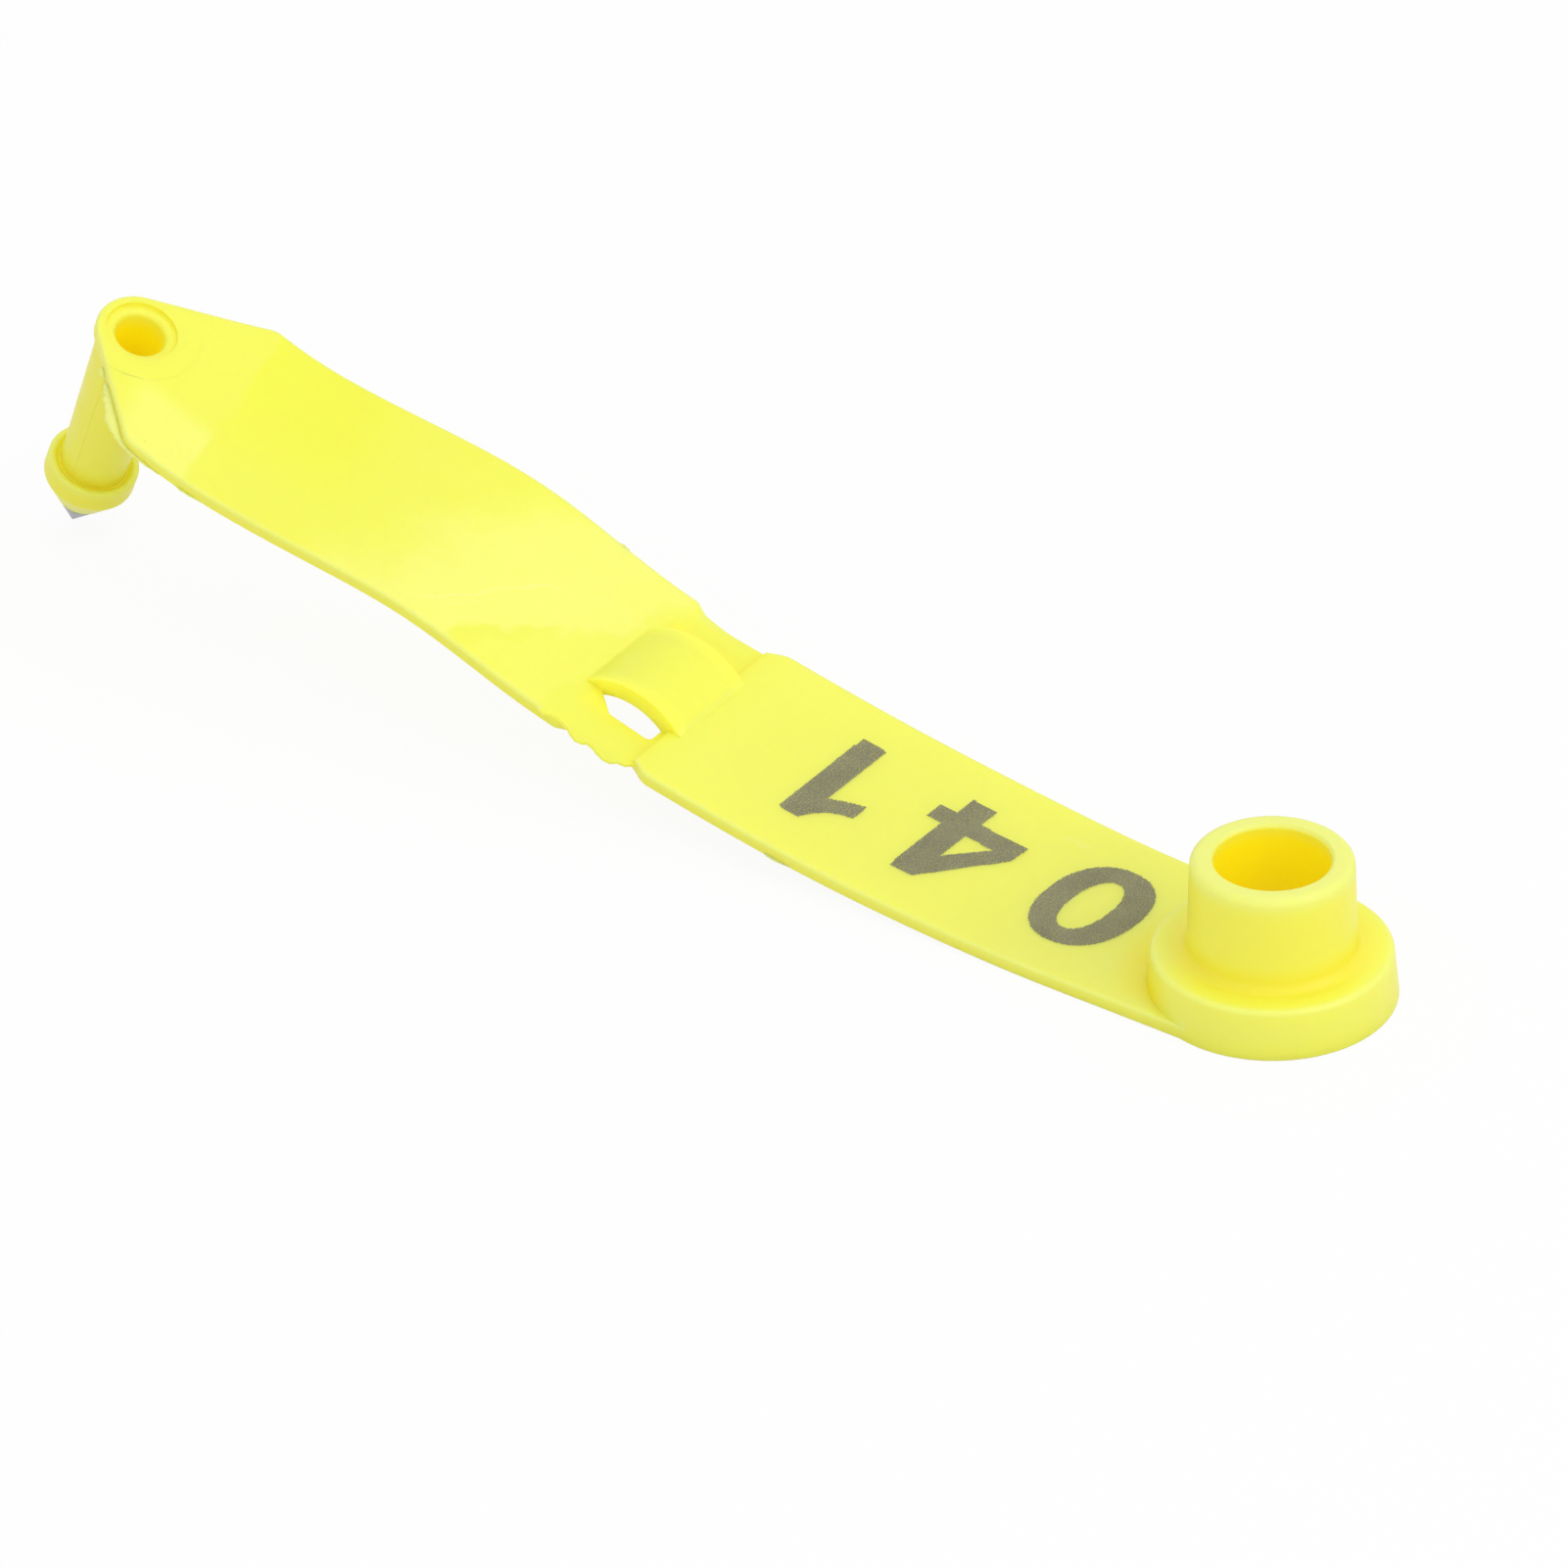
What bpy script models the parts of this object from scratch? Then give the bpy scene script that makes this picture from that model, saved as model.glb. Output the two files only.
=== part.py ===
"""One-piece livestock ear tag: a folding strap with a socket at one end and a piercing stud at the other.

The moulding is modelled flat, with the socket's axis on Z at the start of the strap and the strap running
to -X. It is then laid over the curve that the flexible strap takes when the tag rests on a table, on the
flat underside of its socket and on the steel point of its stud. Lengths are in metres, angles in degrees.
"""
import math

import bmesh
import bpy
from mathutils import Matrix, Vector

# Strap: two flat halves, joined by the fold; an inset is how far one side stands back from the full width
STRAP_WIDTH = 0.0190
STRAP_THICKNESS = 0.0012
STUD_HALF_INSET = 0.00015
AXIS_SPAN = 0.1122
SOCKET_HALF_LENGTH = 0.0552
SOCKET_CORNER_LENGTH = 0.0016
SOCKET_CORNER_ROUND = 0.0020
STUD_CORNER_LENGTH = 0.0013
STUD_CORNER_ROUND = 0.0005
STRAP_EDGE_ROUND = 0.00025

# Fold: two thin bands at the sides, and an arch that bridges a window between them
FOLD_LENGTH = 0.0071
FOLD_END_INSET = 0.0009
FOLD_WAIST_INSET = 0.0012
BAND_WIDTH = 0.0025
BAND_DIP = 0.00045
WINDOW_LEDGE = 0.0005
WINDOW_SOCKET_ROUND = 0.0005
WINDOW_STUD_ROUND = 0.0016
ARCH_SIDE_GAP = 0.0016
ARCH_RISE = 0.00185
ARCH_THICKNESS = 0.0017
ARCH_SOCKET_OVERLAP = 0.0013
ARCH_STUD_OVERLAP = 0.0009
ARCH_EDGE_ROUND = 0.0005

# Spade: the stud half's end, which narrows to a round end about the stud
SPADE_LENGTH = 0.0067
SPADE_INSET = 0.0003
SPADE_CORNER_ROUND = 0.0020
SPADE_END_RADIUS = 0.0037

# Socket: a round flange with a tube that the stud's head snaps into
FLANGE_RADIUS = 0.0097
FLANGE_HEIGHT = 0.0042
FLANGE_DRAFT = 0.0004
FLANGE_EDGE_ROUND = 0.0006
FLANGE_FOOT_ROUND = 0.0002
SOCKET_BORE_RADIUS = 0.0045
SOCKET_WALL = 0.0018
TUBE_RISE = 0.0080
TUBE_DRAFT = 0.00025
TUBE_RIM_ROUND = 0.0007
TUBE_BORE_ROUND = 0.00025
TUBE_ROOT_ROUND = 0.0006
THROAT_STEP = 0.0012
THROAT_HEIGHT = 0.0024
THROAT_LEAD = 0.0008

# Stud: a hollow tapered shank with a collar and a cone below it
STUD_BORE_RADIUS = 0.00205
STUD_BORE_DEPTH = 0.0155
STUD_BORE_DRAFT = 0.0008
STUD_WALL = 0.00125
STUD_DRAFT = 0.0006
STUD_ROOT_ROUND = 0.0003
RECESS_WALL = 0.0009
RECESS_DEPTH = 0.00035
COLLAR_DEPTH = 0.0165
COLLAR_HEIGHT = 0.0019
COLLAR_RADIUS = 0.00375
COLLAR_EDGE_ROUND = 0.0005
COLLAR_RIM_WIDTH = 0.0004
COLLAR_RIM_ROUND = 0.0003
COLLAR_DISH_DEPTH = 0.0006
CONE_LENGTH = 0.0040
CONE_TIP_RADIUS = 0.00125

# Piercing point: a turned steel pin, held in the cone by its grooved shank
POINT_RADIUS = 0.00103
POINT_LENGTH = 0.0016
SHANK_RADIUS = 0.0006
SHANK_LENGTH = 0.0036
SHANK_GROOVE_DEPTH = 0.0002
SHANK_GROOVE_LENGTH = 0.0009
PIECE_CLEARANCE = 0.0003

# Lie of the strap: its slope, twist and sweep at equal stations between the flange and the stud
STRAP_SLOPES = (0.0, 3.5, 5.9, 10.3, 14.1, 23.3, 10.4, 10.7, 24.8)
STRAP_TWISTS = (0.0, 3.1, 3.8, 6.8, 4.4)
STRAP_SWEEPS = (0.0, -1.0, 1.4, 2.2, -0.8)
LEVEL_LIMIT = 20.0
LEVEL_ROUNDS = 40

# Fineness
PATH_STEPS = 240
BEND_STATIONS = 56
ROUND_SEGMENTS = 72
STUD_SEGMENTS = 48
FILLET_STEP = 30.0
ARCH_POINTS = 17
CUT_OVERRUN = 0.0010
SMOOTH_ANGLE = 35.0

# Sizes that follow from the ones above
FOLD_START = SOCKET_HALF_LENGTH
FOLD_END = SOCKET_HALF_LENGTH + FOLD_LENGTH
HALF_WIDTH = STRAP_WIDTH / 2
SPADE_HALF_WIDTH = HALF_WIDTH - SPADE_INSET
WAIST_HALF_WIDTH = HALF_WIDTH - FOLD_WAIST_INSET
WINDOW_HALF_WIDTH = WAIST_HALF_WIDTH - BAND_WIDTH
ARCH_HALF_WIDTH = WINDOW_HALF_WIDTH - ARCH_SIDE_GAP
TUBE_RADIUS = SOCKET_BORE_RADIUS + SOCKET_WALL
TUBE_TOP = FLANGE_HEIGHT + TUBE_RISE
STUD_RADIUS = STUD_BORE_RADIUS + STUD_WALL
RECESS_RADIUS = STUD_BORE_RADIUS + RECESS_WALL
COLLAR_BOTTOM = COLLAR_DEPTH + COLLAR_HEIGHT
CONE_BOTTOM = COLLAR_BOTTOM + CONE_LENGTH
POINT_SHOULDER = CONE_BOTTOM + PIECE_CLEARANCE
POINT_END = POINT_SHOULDER + POINT_LENGTH


def rounded(corners, closed=True):
    """Points of an outline whose corners, each (x, y, radius), are turned into arcs."""
    count = len(corners)
    points = []
    for index, (x, y, radius) in enumerate(corners):
        corner = Vector((x, y))
        if radius <= 0 or (not closed and index in (0, count - 1)):
            points.append(corner)
            continue
        before = Vector(corners[index - 1][:2]) - corner
        after = Vector(corners[(index + 1) % count][:2]) - corner
        half = before.angle(after) / 2
        reach = min(radius / math.tan(half), before.length / 2, after.length / 2)
        start = corner + before.normalized() * reach
        end = corner + after.normalized() * reach
        centre = corner + (before.normalized() + after.normalized()).normalized() * (reach / math.cos(half))
        turn = (start - centre).angle_signed(end - centre)
        steps = max(1, round(abs(math.degrees(turn)) / FILLET_STEP))
        arm = start - centre
        for step in range(steps + 1):
            angle = -turn * step / steps
            points.append(centre + Matrix.Rotation(angle, 2) @ arm)
    return points


def arc_over(start, end, crown, count):
    """Points of the arc from (x, z) start to end that passes crown above the middle of their chord."""
    start, end = Vector(start), Vector(end)
    chord = end - start
    across = Vector((-chord.y, chord.x)).normalized()
    if across.y < 0:
        across.negate()
    radius = (chord.length ** 2 / 4 + crown ** 2) / (2 * crown)
    centre = (start + end) / 2 + across * (crown - radius)
    half = math.asin(chord.length / 2 / radius)
    turn = math.copysign(half, chord.x)
    up = across * radius
    steps = count - 1
    return [centre + Matrix.Rotation(turn - 2 * turn * i / steps, 2) @ up for i in range(count)]


def new_object(name, mesh_builder):
    """An object with the given name and the mesh of a finished bmesh."""
    mesh = bpy.data.meshes.new(name)
    mesh_builder.to_mesh(mesh)
    mesh_builder.free()
    made = bpy.data.objects.new(name, mesh)
    bpy.context.scene.collection.objects.link(made)
    return made


def extruded(name, points, plane, low, high):
    """A solid with the outline points in the XY or XZ plane, from low to high along the third axis."""
    builder = bmesh.new()
    if plane == "XY":
        ring = [builder.verts.new((p.x, p.y, low)) for p in points]
        move = Vector((0, 0, high - low))
    else:
        ring = [builder.verts.new((p.x, low, p.y)) for p in points]
        move = Vector((0, high - low, 0))
    face = builder.faces.new(ring)
    grown = bmesh.ops.extrude_face_region(builder, geom=[face])
    moved = [item for item in grown["geom"] if isinstance(item, bmesh.types.BMVert)]
    bmesh.ops.translate(builder, vec=move, verts=moved)
    bmesh.ops.recalc_face_normals(builder, faces=builder.faces)
    return new_object(name, builder)


def spun(name, profile, x, segments):
    """A solid of revolution about the vertical axis at x; the profile's (radius, height) points close on it."""
    builder = bmesh.new()
    verts = [builder.verts.new((p.x, 0, p.y)) for p in profile]
    edges = [builder.edges.new(pair) for pair in zip(verts, verts[1:])]
    bmesh.ops.spin(builder, geom=verts + edges, cent=(0, 0, 0), axis=(0, 0, 1), angle=math.tau,
                   steps=segments, use_merge=True)
    bmesh.ops.remove_doubles(builder, verts=builder.verts, dist=PIECE_CLEARANCE / ROUND_SEGMENTS)
    bmesh.ops.recalc_face_normals(builder, faces=builder.faces)
    bmesh.ops.translate(builder, vec=(x, 0, 0), verts=builder.verts)
    return new_object(name, builder)


def combined(base, other, operation):
    """Joins the other solid to the base, or cuts it out of it, and removes it."""
    modifier = base.modifiers.new(operation.title(), "BOOLEAN")
    modifier.operation = operation
    modifier.object = other
    modifier.solver = "EXACT"
    graph = bpy.context.evaluated_depsgraph_get()
    mesh = bpy.data.meshes.new_from_object(base.evaluated_get(graph))
    base.modifiers.clear()
    base.data = mesh
    bpy.data.objects.remove(other)
    return base


def edge_bevel(target, width, chosen):
    """Rounds the edges of an object's mesh for which chosen(edge) holds."""
    builder = bmesh.new()
    builder.from_mesh(target.data)
    edges = [edge for edge in builder.edges if chosen(edge)]
    bmesh.ops.bevel(builder, geom=edges, offset=width, offset_type="OFFSET", segments=2, profile=0.5,
                    affect="EDGES", clamp_overlap=True)
    builder.to_mesh(target.data)
    builder.free()


def half_outline():
    """Corners of the strap's +Y side as (x, y, radius), from the socket's end to the stud's end."""
    # The spade's side touches the round end, so it leaves the corner at the tangent's angle
    reach = math.hypot(SPADE_LENGTH, SPADE_HALF_WIDTH)
    lean = math.atan2(SPADE_HALF_WIDTH, SPADE_LENGTH) - math.asin(SPADE_END_RADIUS / reach)
    tangent = math.sqrt(reach ** 2 - SPADE_END_RADIUS ** 2)
    corner_x = SPADE_LENGTH - AXIS_SPAN
    touch = (corner_x - tangent * math.cos(lean), SPADE_HALF_WIDTH - tangent * math.sin(lean))
    fold_end = HALF_WIDTH - FOLD_END_INSET
    side = [
        (0, HALF_WIDTH, 0),
        (SOCKET_CORNER_LENGTH - FOLD_START, HALF_WIDTH, SOCKET_CORNER_ROUND),
        (-FOLD_START, fold_end, 0),
        (-(FOLD_START + FOLD_END) / 2, WAIST_HALF_WIDTH, FOLD_LENGTH),
        (STUD_CORNER_LENGTH - FOLD_END, fold_end, 0),
        (-FOLD_END, HALF_WIDTH - STUD_HALF_INSET, STUD_CORNER_ROUND),
        (corner_x, SPADE_HALF_WIDTH, SPADE_CORNER_ROUND),
        (touch[0], touch[1], 0),
    ]
    # Angle about the stud at which the round end begins
    begin = math.atan2(touch[1], touch[0] + AXIS_SPAN)
    return side, begin


def strap_plate():
    """The flat strap, with the edges of its top face rounded."""
    side, begin = half_outline()
    upper = rounded(side, closed=False)
    span = 2 * (math.pi - begin)
    steps = round(math.degrees(span) / FILLET_STEP * 2)
    arms = [begin + span * step / steps for step in range(1, steps)]
    end = [Vector((SPADE_END_RADIUS * math.cos(arm) - AXIS_SPAN, SPADE_END_RADIUS * math.sin(arm))) for arm in arms]
    lower = [Vector((p.x, -p.y)) for p in reversed(upper)]
    plate = extruded("tag_moulding", upper + end + lower, "XY", 0, STRAP_THICKNESS)

    def is_top_edge(edge):
        """Whether an edge bounds the top face anywhere but at the socket."""
        one, two = edge.verts[0].co, edge.verts[1].co
        return min(one.z, two.z) > 0 and min(one.x, two.x) < 0
    edge_bevel(plate, STRAP_EDGE_ROUND, is_top_edge)
    return plate


def fold_cutters():
    """The slope that thins the side bands towards the socket half, and the window between them."""
    half = HALF_WIDTH + CUT_OVERRUN
    above = STRAP_THICKNESS + CUT_OVERRUN
    slope = [(-FOLD_START, STRAP_THICKNESS - BAND_DIP), (-FOLD_START, above), (-FOLD_END, above),
             (-FOLD_END, STRAP_THICKNESS)]
    dip = extruded("dip", [Vector(corner) for corner in slope], "XZ", -half, half)
    near, far = -FOLD_START - WINDOW_LEDGE, WINDOW_LEDGE - FOLD_END
    corners = [
        (near, WINDOW_HALF_WIDTH, WINDOW_SOCKET_ROUND),
        (far, WINDOW_HALF_WIDTH, WINDOW_STUD_ROUND),
        (far, -WINDOW_HALF_WIDTH, WINDOW_STUD_ROUND),
        (near, -WINDOW_HALF_WIDTH, WINDOW_SOCKET_ROUND),
    ]
    window = extruded("window", rounded(corners), "XY", -CUT_OVERRUN, above)
    return dip, window


def fold_arch():
    """The arch over the window, with its feet sunk in both halves."""
    first, last = -FOLD_START + ARCH_SOCKET_OVERLAP, -FOLD_END - ARCH_STUD_OVERLAP
    seat = STRAP_THICKNESS / 2
    over = arc_over((first, STRAP_THICKNESS), (last, STRAP_THICKNESS), ARCH_RISE, ARCH_POINTS)
    under_first, under_last = -FOLD_START - WINDOW_LEDGE, -FOLD_END + WINDOW_LEDGE
    drop = ARCH_RISE - ARCH_THICKNESS + STRAP_THICKNESS - seat
    under = arc_over((under_last, seat), (under_first, seat), drop, ARCH_POINTS)
    profile = over + [Vector((last, seat))] + under + [Vector((first, seat))]
    arch = extruded("arch", profile, "XZ", -ARCH_HALF_WIDTH, ARCH_HALF_WIDTH)

    def is_upper_side_edge(edge):
        """Whether an edge follows the upper curve on one of the arch's two sides."""
        one, two = edge.verts[0].co, edge.verts[1].co
        along = abs(one.x - two.x) > 0 and one.y == two.y
        return along and min(one.z, two.z) >= STRAP_THICKNESS - PIECE_CLEARANCE
    edge_bevel(arch, ARCH_EDGE_ROUND, is_upper_side_edge)
    return arch


def socket_body():
    """The flange and its tube, solid."""
    root = TUBE_RADIUS + TUBE_DRAFT
    profile = rounded([
        (0, 0, 0),
        (FLANGE_RADIUS, 0, FLANGE_FOOT_ROUND),
        (FLANGE_RADIUS - FLANGE_DRAFT, FLANGE_HEIGHT, FLANGE_EDGE_ROUND),
        (root, FLANGE_HEIGHT, TUBE_ROOT_ROUND),
        (TUBE_RADIUS, TUBE_TOP, TUBE_RIM_ROUND),
        (0, TUBE_TOP, 0),
    ], closed=False)
    return spun("socket", profile, 0, ROUND_SEGMENTS)


def socket_bore():
    """The hollow of the socket: a chamber above a narrower throat with a flared mouth."""
    throat = SOCKET_BORE_RADIUS - THROAT_STEP
    # Both flares run on past the faces that they open in, at 45 degrees
    profile = rounded([
        (0, -CUT_OVERRUN, 0),
        (throat + THROAT_LEAD + CUT_OVERRUN, -CUT_OVERRUN, 0),
        (throat, THROAT_LEAD, 0),
        (throat, THROAT_HEIGHT, 0),
        (SOCKET_BORE_RADIUS, THROAT_HEIGHT, 0),
        (SOCKET_BORE_RADIUS, TUBE_TOP - TUBE_BORE_ROUND, 0),
        (SOCKET_BORE_RADIUS + TUBE_BORE_ROUND + CUT_OVERRUN, TUBE_TOP + CUT_OVERRUN, 0),
        (0, TUBE_TOP + CUT_OVERRUN, 0),
    ], closed=False)
    return spun("socket_bore", profile, 0, ROUND_SEGMENTS)


def stud_body():
    """The shank, collar and cone, solid, hanging from inside the strap's end."""
    top = STRAP_THICKNESS
    foot = STUD_RADIUS - STUD_DRAFT
    rim = COLLAR_RADIUS - COLLAR_RIM_WIDTH
    profile = rounded([
        (0, top / 2, 0),
        (STUD_RADIUS + STUD_ROOT_ROUND, top / 2, 0),
        (STUD_RADIUS + STUD_ROOT_ROUND, 0, 0),
        (STUD_RADIUS, -STUD_ROOT_ROUND, 0),
        (foot, top - COLLAR_DEPTH - COLLAR_DISH_DEPTH, 0),
        (rim, top - COLLAR_DEPTH, COLLAR_RIM_ROUND),
        (COLLAR_RADIUS, top - COLLAR_DEPTH, COLLAR_RIM_ROUND),
        (COLLAR_RADIUS, top - COLLAR_BOTTOM, COLLAR_EDGE_ROUND),
        (CONE_TIP_RADIUS, top - CONE_BOTTOM, 0),
        (0, top - CONE_BOTTOM, 0),
    ], closed=False)
    return spun("stud", profile, -AXIS_SPAN, STUD_SEGMENTS)


def stud_bore():
    """The hollow of the shank, with the shallow recess round its mouth."""
    top = STRAP_THICKNESS
    profile = rounded([
        (0, top + CUT_OVERRUN, 0),
        (RECESS_RADIUS, top + CUT_OVERRUN, 0),
        (RECESS_RADIUS, top - RECESS_DEPTH, 0),
        (STUD_BORE_RADIUS, top - RECESS_DEPTH, 0),
        (STUD_BORE_RADIUS - STUD_BORE_DRAFT, top - STUD_BORE_DEPTH, STUD_BORE_DRAFT),
        (0, top - STUD_BORE_DEPTH, 0),
    ], closed=False)
    return spun("stud_bore", profile, -AXIS_SPAN, STUD_SEGMENTS)


def shank_corners(clearance):
    """The pin's shank from its shoulder to its end, wider and longer all round by the clearance."""
    top = STRAP_THICKNESS
    end = POINT_SHOULDER - SHANK_LENGTH
    groove_low = end + SHANK_LENGTH / 2
    groove_high = groove_low - SHANK_GROOVE_LENGTH
    radius = SHANK_RADIUS + clearance
    neck = radius - SHANK_GROOVE_DEPTH
    slope = SHANK_GROOVE_DEPTH
    return [
        (radius, top - groove_low, 0),
        (neck, top - groove_low + slope, 0),
        (neck, top - groove_high - slope, 0),
        (radius, top - groove_high, 0),
        (radius, top - end + clearance, 0),
        (0, top - end + clearance, 0),
    ]


def pin_seat():
    """The hollow in the cone that the pin's shank sits in."""
    below = STRAP_THICKNESS - CONE_BOTTOM - CUT_OVERRUN
    radius = SHANK_RADIUS + PIECE_CLEARANCE
    profile = rounded([(0, below, 0), (radius, below, 0)] + shank_corners(PIECE_CLEARANCE), closed=False)
    return spun("pin_seat", profile, -AXIS_SPAN, STUD_SEGMENTS)


def piercing_point():
    """The turned steel pin: its point, the shoulder under the cone, and the grooved shank."""
    top = STRAP_THICKNESS
    profile = rounded([
        (0, top - POINT_END, 0),
        (POINT_RADIUS, top - POINT_SHOULDER, 0),
        (SHANK_RADIUS, top - POINT_SHOULDER, 0),
    ] + shank_corners(0), closed=False)
    return spun("piercing_point", profile, -AXIS_SPAN, STUD_SEGMENTS)


def tag_moulding():
    """The whole plastic moulding, flat."""
    moulding = strap_plate()
    dip, window = fold_cutters()
    combined(moulding, dip, "DIFFERENCE")
    combined(moulding, window, "DIFFERENCE")
    combined(moulding, fold_arch(), "UNION")
    combined(moulding, socket_body(), "UNION")
    combined(moulding, stud_body(), "UNION")
    combined(moulding, socket_bore(), "DIFFERENCE")
    combined(moulding, stud_bore(), "DIFFERENCE")
    combined(moulding, pin_seat(), "DIFFERENCE")
    return moulding


def value_along(values, share):
    """A smooth curve through equally spaced values, read at a share of its length."""
    last = len(values) - 1
    place = min(max(share, 0.0), 1.0) * last
    index = min(int(place), last - 1)
    part = place - index
    one, two = values[index], values[index + 1]
    before = values[max(index - 1, 0)]
    after = values[min(index + 2, last)]
    leave, arrive = (two - before) / 2, (after - one) / 2
    return ((2 * part ** 3 - 3 * part ** 2 + 1) * one + (part ** 3 - 2 * part ** 2 + part) * leave
            + (3 * part ** 2 - 2 * part ** 3) * two + (part ** 3 - part ** 2) * arrive)


class StrapPath:
    """The curve that the strap's top face follows, with the strap's turn at each place on it."""

    def __init__(self, level):
        """Works out the path for slopes that are all raised by level degrees."""
        self.slopes = (STRAP_SLOPES[0],) + tuple(slope + level for slope in STRAP_SLOPES[1:])
        self.first = FLANGE_RADIUS
        self.free = AXIS_SPAN - SPADE_END_RADIUS - FLANGE_RADIUS
        self.step = AXIS_SPAN / PATH_STEPS
        self.places = [Vector((0, 0, STRAP_THICKNESS))]
        for index in range(PATH_STEPS):
            way = self.turn((index + 0.5) * self.step) @ Vector((-self.step, 0, 0))
            self.places.append(self.places[-1] + way)

    def turn(self, along):
        """The strap's rotation at a distance along it from the socket's axis."""
        share = (along - self.first) / self.free
        slope = math.radians(value_along(self.slopes, share))
        twist = math.radians(value_along(STRAP_TWISTS, share))
        sweep = math.radians(value_along(STRAP_SWEEPS, share))
        return Matrix.Rotation(sweep, 3, "Z") @ Matrix.Rotation(slope, 3, "Y") @ Matrix.Rotation(twist, 3, "X")

    def laid(self, point):
        """Where a point of the flat model comes to lie."""
        along = -point.x
        index = min(max(int(along / self.step), 0), PATH_STEPS - 1)
        part = along / self.step - index
        place = self.places[index].lerp(self.places[index + 1], part) if 0 <= part <= 1 else (
            self.places[index] + (self.places[index + 1] - self.places[index]) * part)
        return place + self.turn(along) @ Vector((0, point.y, point.z - STRAP_THICKNESS))


def resting_path():
    """The path that brings the steel point down to the level of the socket's underside."""
    point = Vector((-AXIS_SPAN, 0, STRAP_THICKNESS - POINT_END))
    low, high = -LEVEL_LIMIT, LEVEL_LIMIT
    for _ in range(LEVEL_ROUNDS):
        middle = (low + high) / 2
        if StrapPath(middle).laid(point).z < 0:
            low = middle
        else:
            high = middle
    return StrapPath(high)


def laid_over(target, path):
    """Slices a flat object into short lengths and lays it over the path."""
    builder = bmesh.new()
    builder.from_mesh(target.data)
    for index in range(1, BEND_STATIONS):
        x = -(path.first + path.free * index / BEND_STATIONS)
        geom = builder.verts[:] + builder.edges[:] + builder.faces[:]
        bmesh.ops.bisect_plane(builder, geom=geom, dist=PIECE_CLEARANCE / ROUND_SEGMENTS,
                               plane_co=(x, 0, 0), plane_no=(1, 0, 0))
    bmesh.ops.triangulate(builder, faces=builder.faces)
    for vert in builder.verts:
        vert.co = path.laid(vert.co)
    builder.to_mesh(target.data)
    builder.free()
    target.data.shade_smooth()
    target.data.set_sharp_from_angle(angle=math.radians(SMOOTH_ANGLE))


def finish(name, colour, roughness, metallic):
    """A plain Principled material."""
    made = bpy.data.materials.new(name)
    made.use_nodes = True
    shader = made.node_tree.nodes["Principled BSDF"]
    shader.inputs["Base Color"].default_value = (*colour, 1)
    shader.inputs["Roughness"].default_value = roughness
    shader.inputs["Metallic"].default_value = metallic
    return made


def centred(pieces):
    """Parents the pieces to an empty that puts the middle of their box over the origin."""
    corners = [vert.co for piece in pieces for vert in piece.data.vertices]
    low = Vector(min(corner[axis] for corner in corners) for axis in range(3))
    high = Vector(max(corner[axis] for corner in corners) for axis in range(3))
    frame = bpy.data.objects.new("ear_tag", None)
    bpy.context.scene.collection.objects.link(frame)
    frame.location = (-(low.x + high.x) / 2, -(low.y + high.y) / 2, -low.z)
    for piece in pieces:
        piece.parent = frame


def main():
    for old in list(bpy.data.objects):
        bpy.data.objects.remove(old)
    path = resting_path()
    moulding, point = tag_moulding(), piercing_point()
    for piece in (moulding, point):
        laid_over(piece, path)
    moulding.data.materials.clear()
    moulding.data.materials.append(finish("yellow_plastic", (0.91, 0.87, 0.09), 0.35, 0.0))
    point.data.materials.append(finish("point_steel", (0.45, 0.45, 0.46), 0.3, 1.0))
    centred((moulding, point))


main()
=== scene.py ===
"""A one-piece livestock ear tag, dressed for its portrait on a pale table.

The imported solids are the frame. The yellow moulding is built again with finer rounds, flat on the drawing
plane, and a Geometry Nodes tree then lays it along the curve that the flexible strap takes on the table.
The laser-marked number, the burrs and the steel point go the same way. Lengths are in metres and
angles in degrees.
"""

import logging
import math
from collections.abc import Callable, Sequence
from dataclasses import dataclass, field
from enum import Enum
from typing import Any

import bmesh
import bpy
from mathutils import Matrix, Vector
from mathutils.kdtree import KDTree


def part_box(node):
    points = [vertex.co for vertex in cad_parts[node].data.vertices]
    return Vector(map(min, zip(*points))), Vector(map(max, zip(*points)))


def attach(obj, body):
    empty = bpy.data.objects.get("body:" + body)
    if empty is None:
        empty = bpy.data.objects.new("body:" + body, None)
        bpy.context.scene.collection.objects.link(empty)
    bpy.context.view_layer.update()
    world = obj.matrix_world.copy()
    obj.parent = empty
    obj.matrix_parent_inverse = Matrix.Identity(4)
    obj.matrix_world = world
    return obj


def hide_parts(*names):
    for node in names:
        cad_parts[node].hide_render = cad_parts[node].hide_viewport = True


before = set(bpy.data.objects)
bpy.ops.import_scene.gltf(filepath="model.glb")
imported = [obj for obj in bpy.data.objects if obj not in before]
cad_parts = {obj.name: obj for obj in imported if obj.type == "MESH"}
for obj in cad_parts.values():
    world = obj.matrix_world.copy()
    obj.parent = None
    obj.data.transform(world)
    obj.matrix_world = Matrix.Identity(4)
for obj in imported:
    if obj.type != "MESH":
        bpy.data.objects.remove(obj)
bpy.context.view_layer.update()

LOG = logging.getLogger("ear_tag")
BODY = "root"

MERGE_DISTANCE = 1e-6
SMOOTH_ANGLE = 32.0
LARGE_FACE_WEIGHT = 80
SEED = 41

Colour = tuple[float, float, float]
Corner = tuple[float, float, float]


# Node trees

def port(sockets: Sequence[Any], key: str | int) -> Any:
    """Finds one socket of a node.

    Args:
        sockets: The node's inputs or outputs.
        key: The socket's name, or its place where names repeat.

    Returns:
        The enabled socket with that name, or the socket at that place.
    """
    if isinstance(key, int):
        return sockets[key]
    return next(item for item in sockets if item.name == key and item.enabled)


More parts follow.
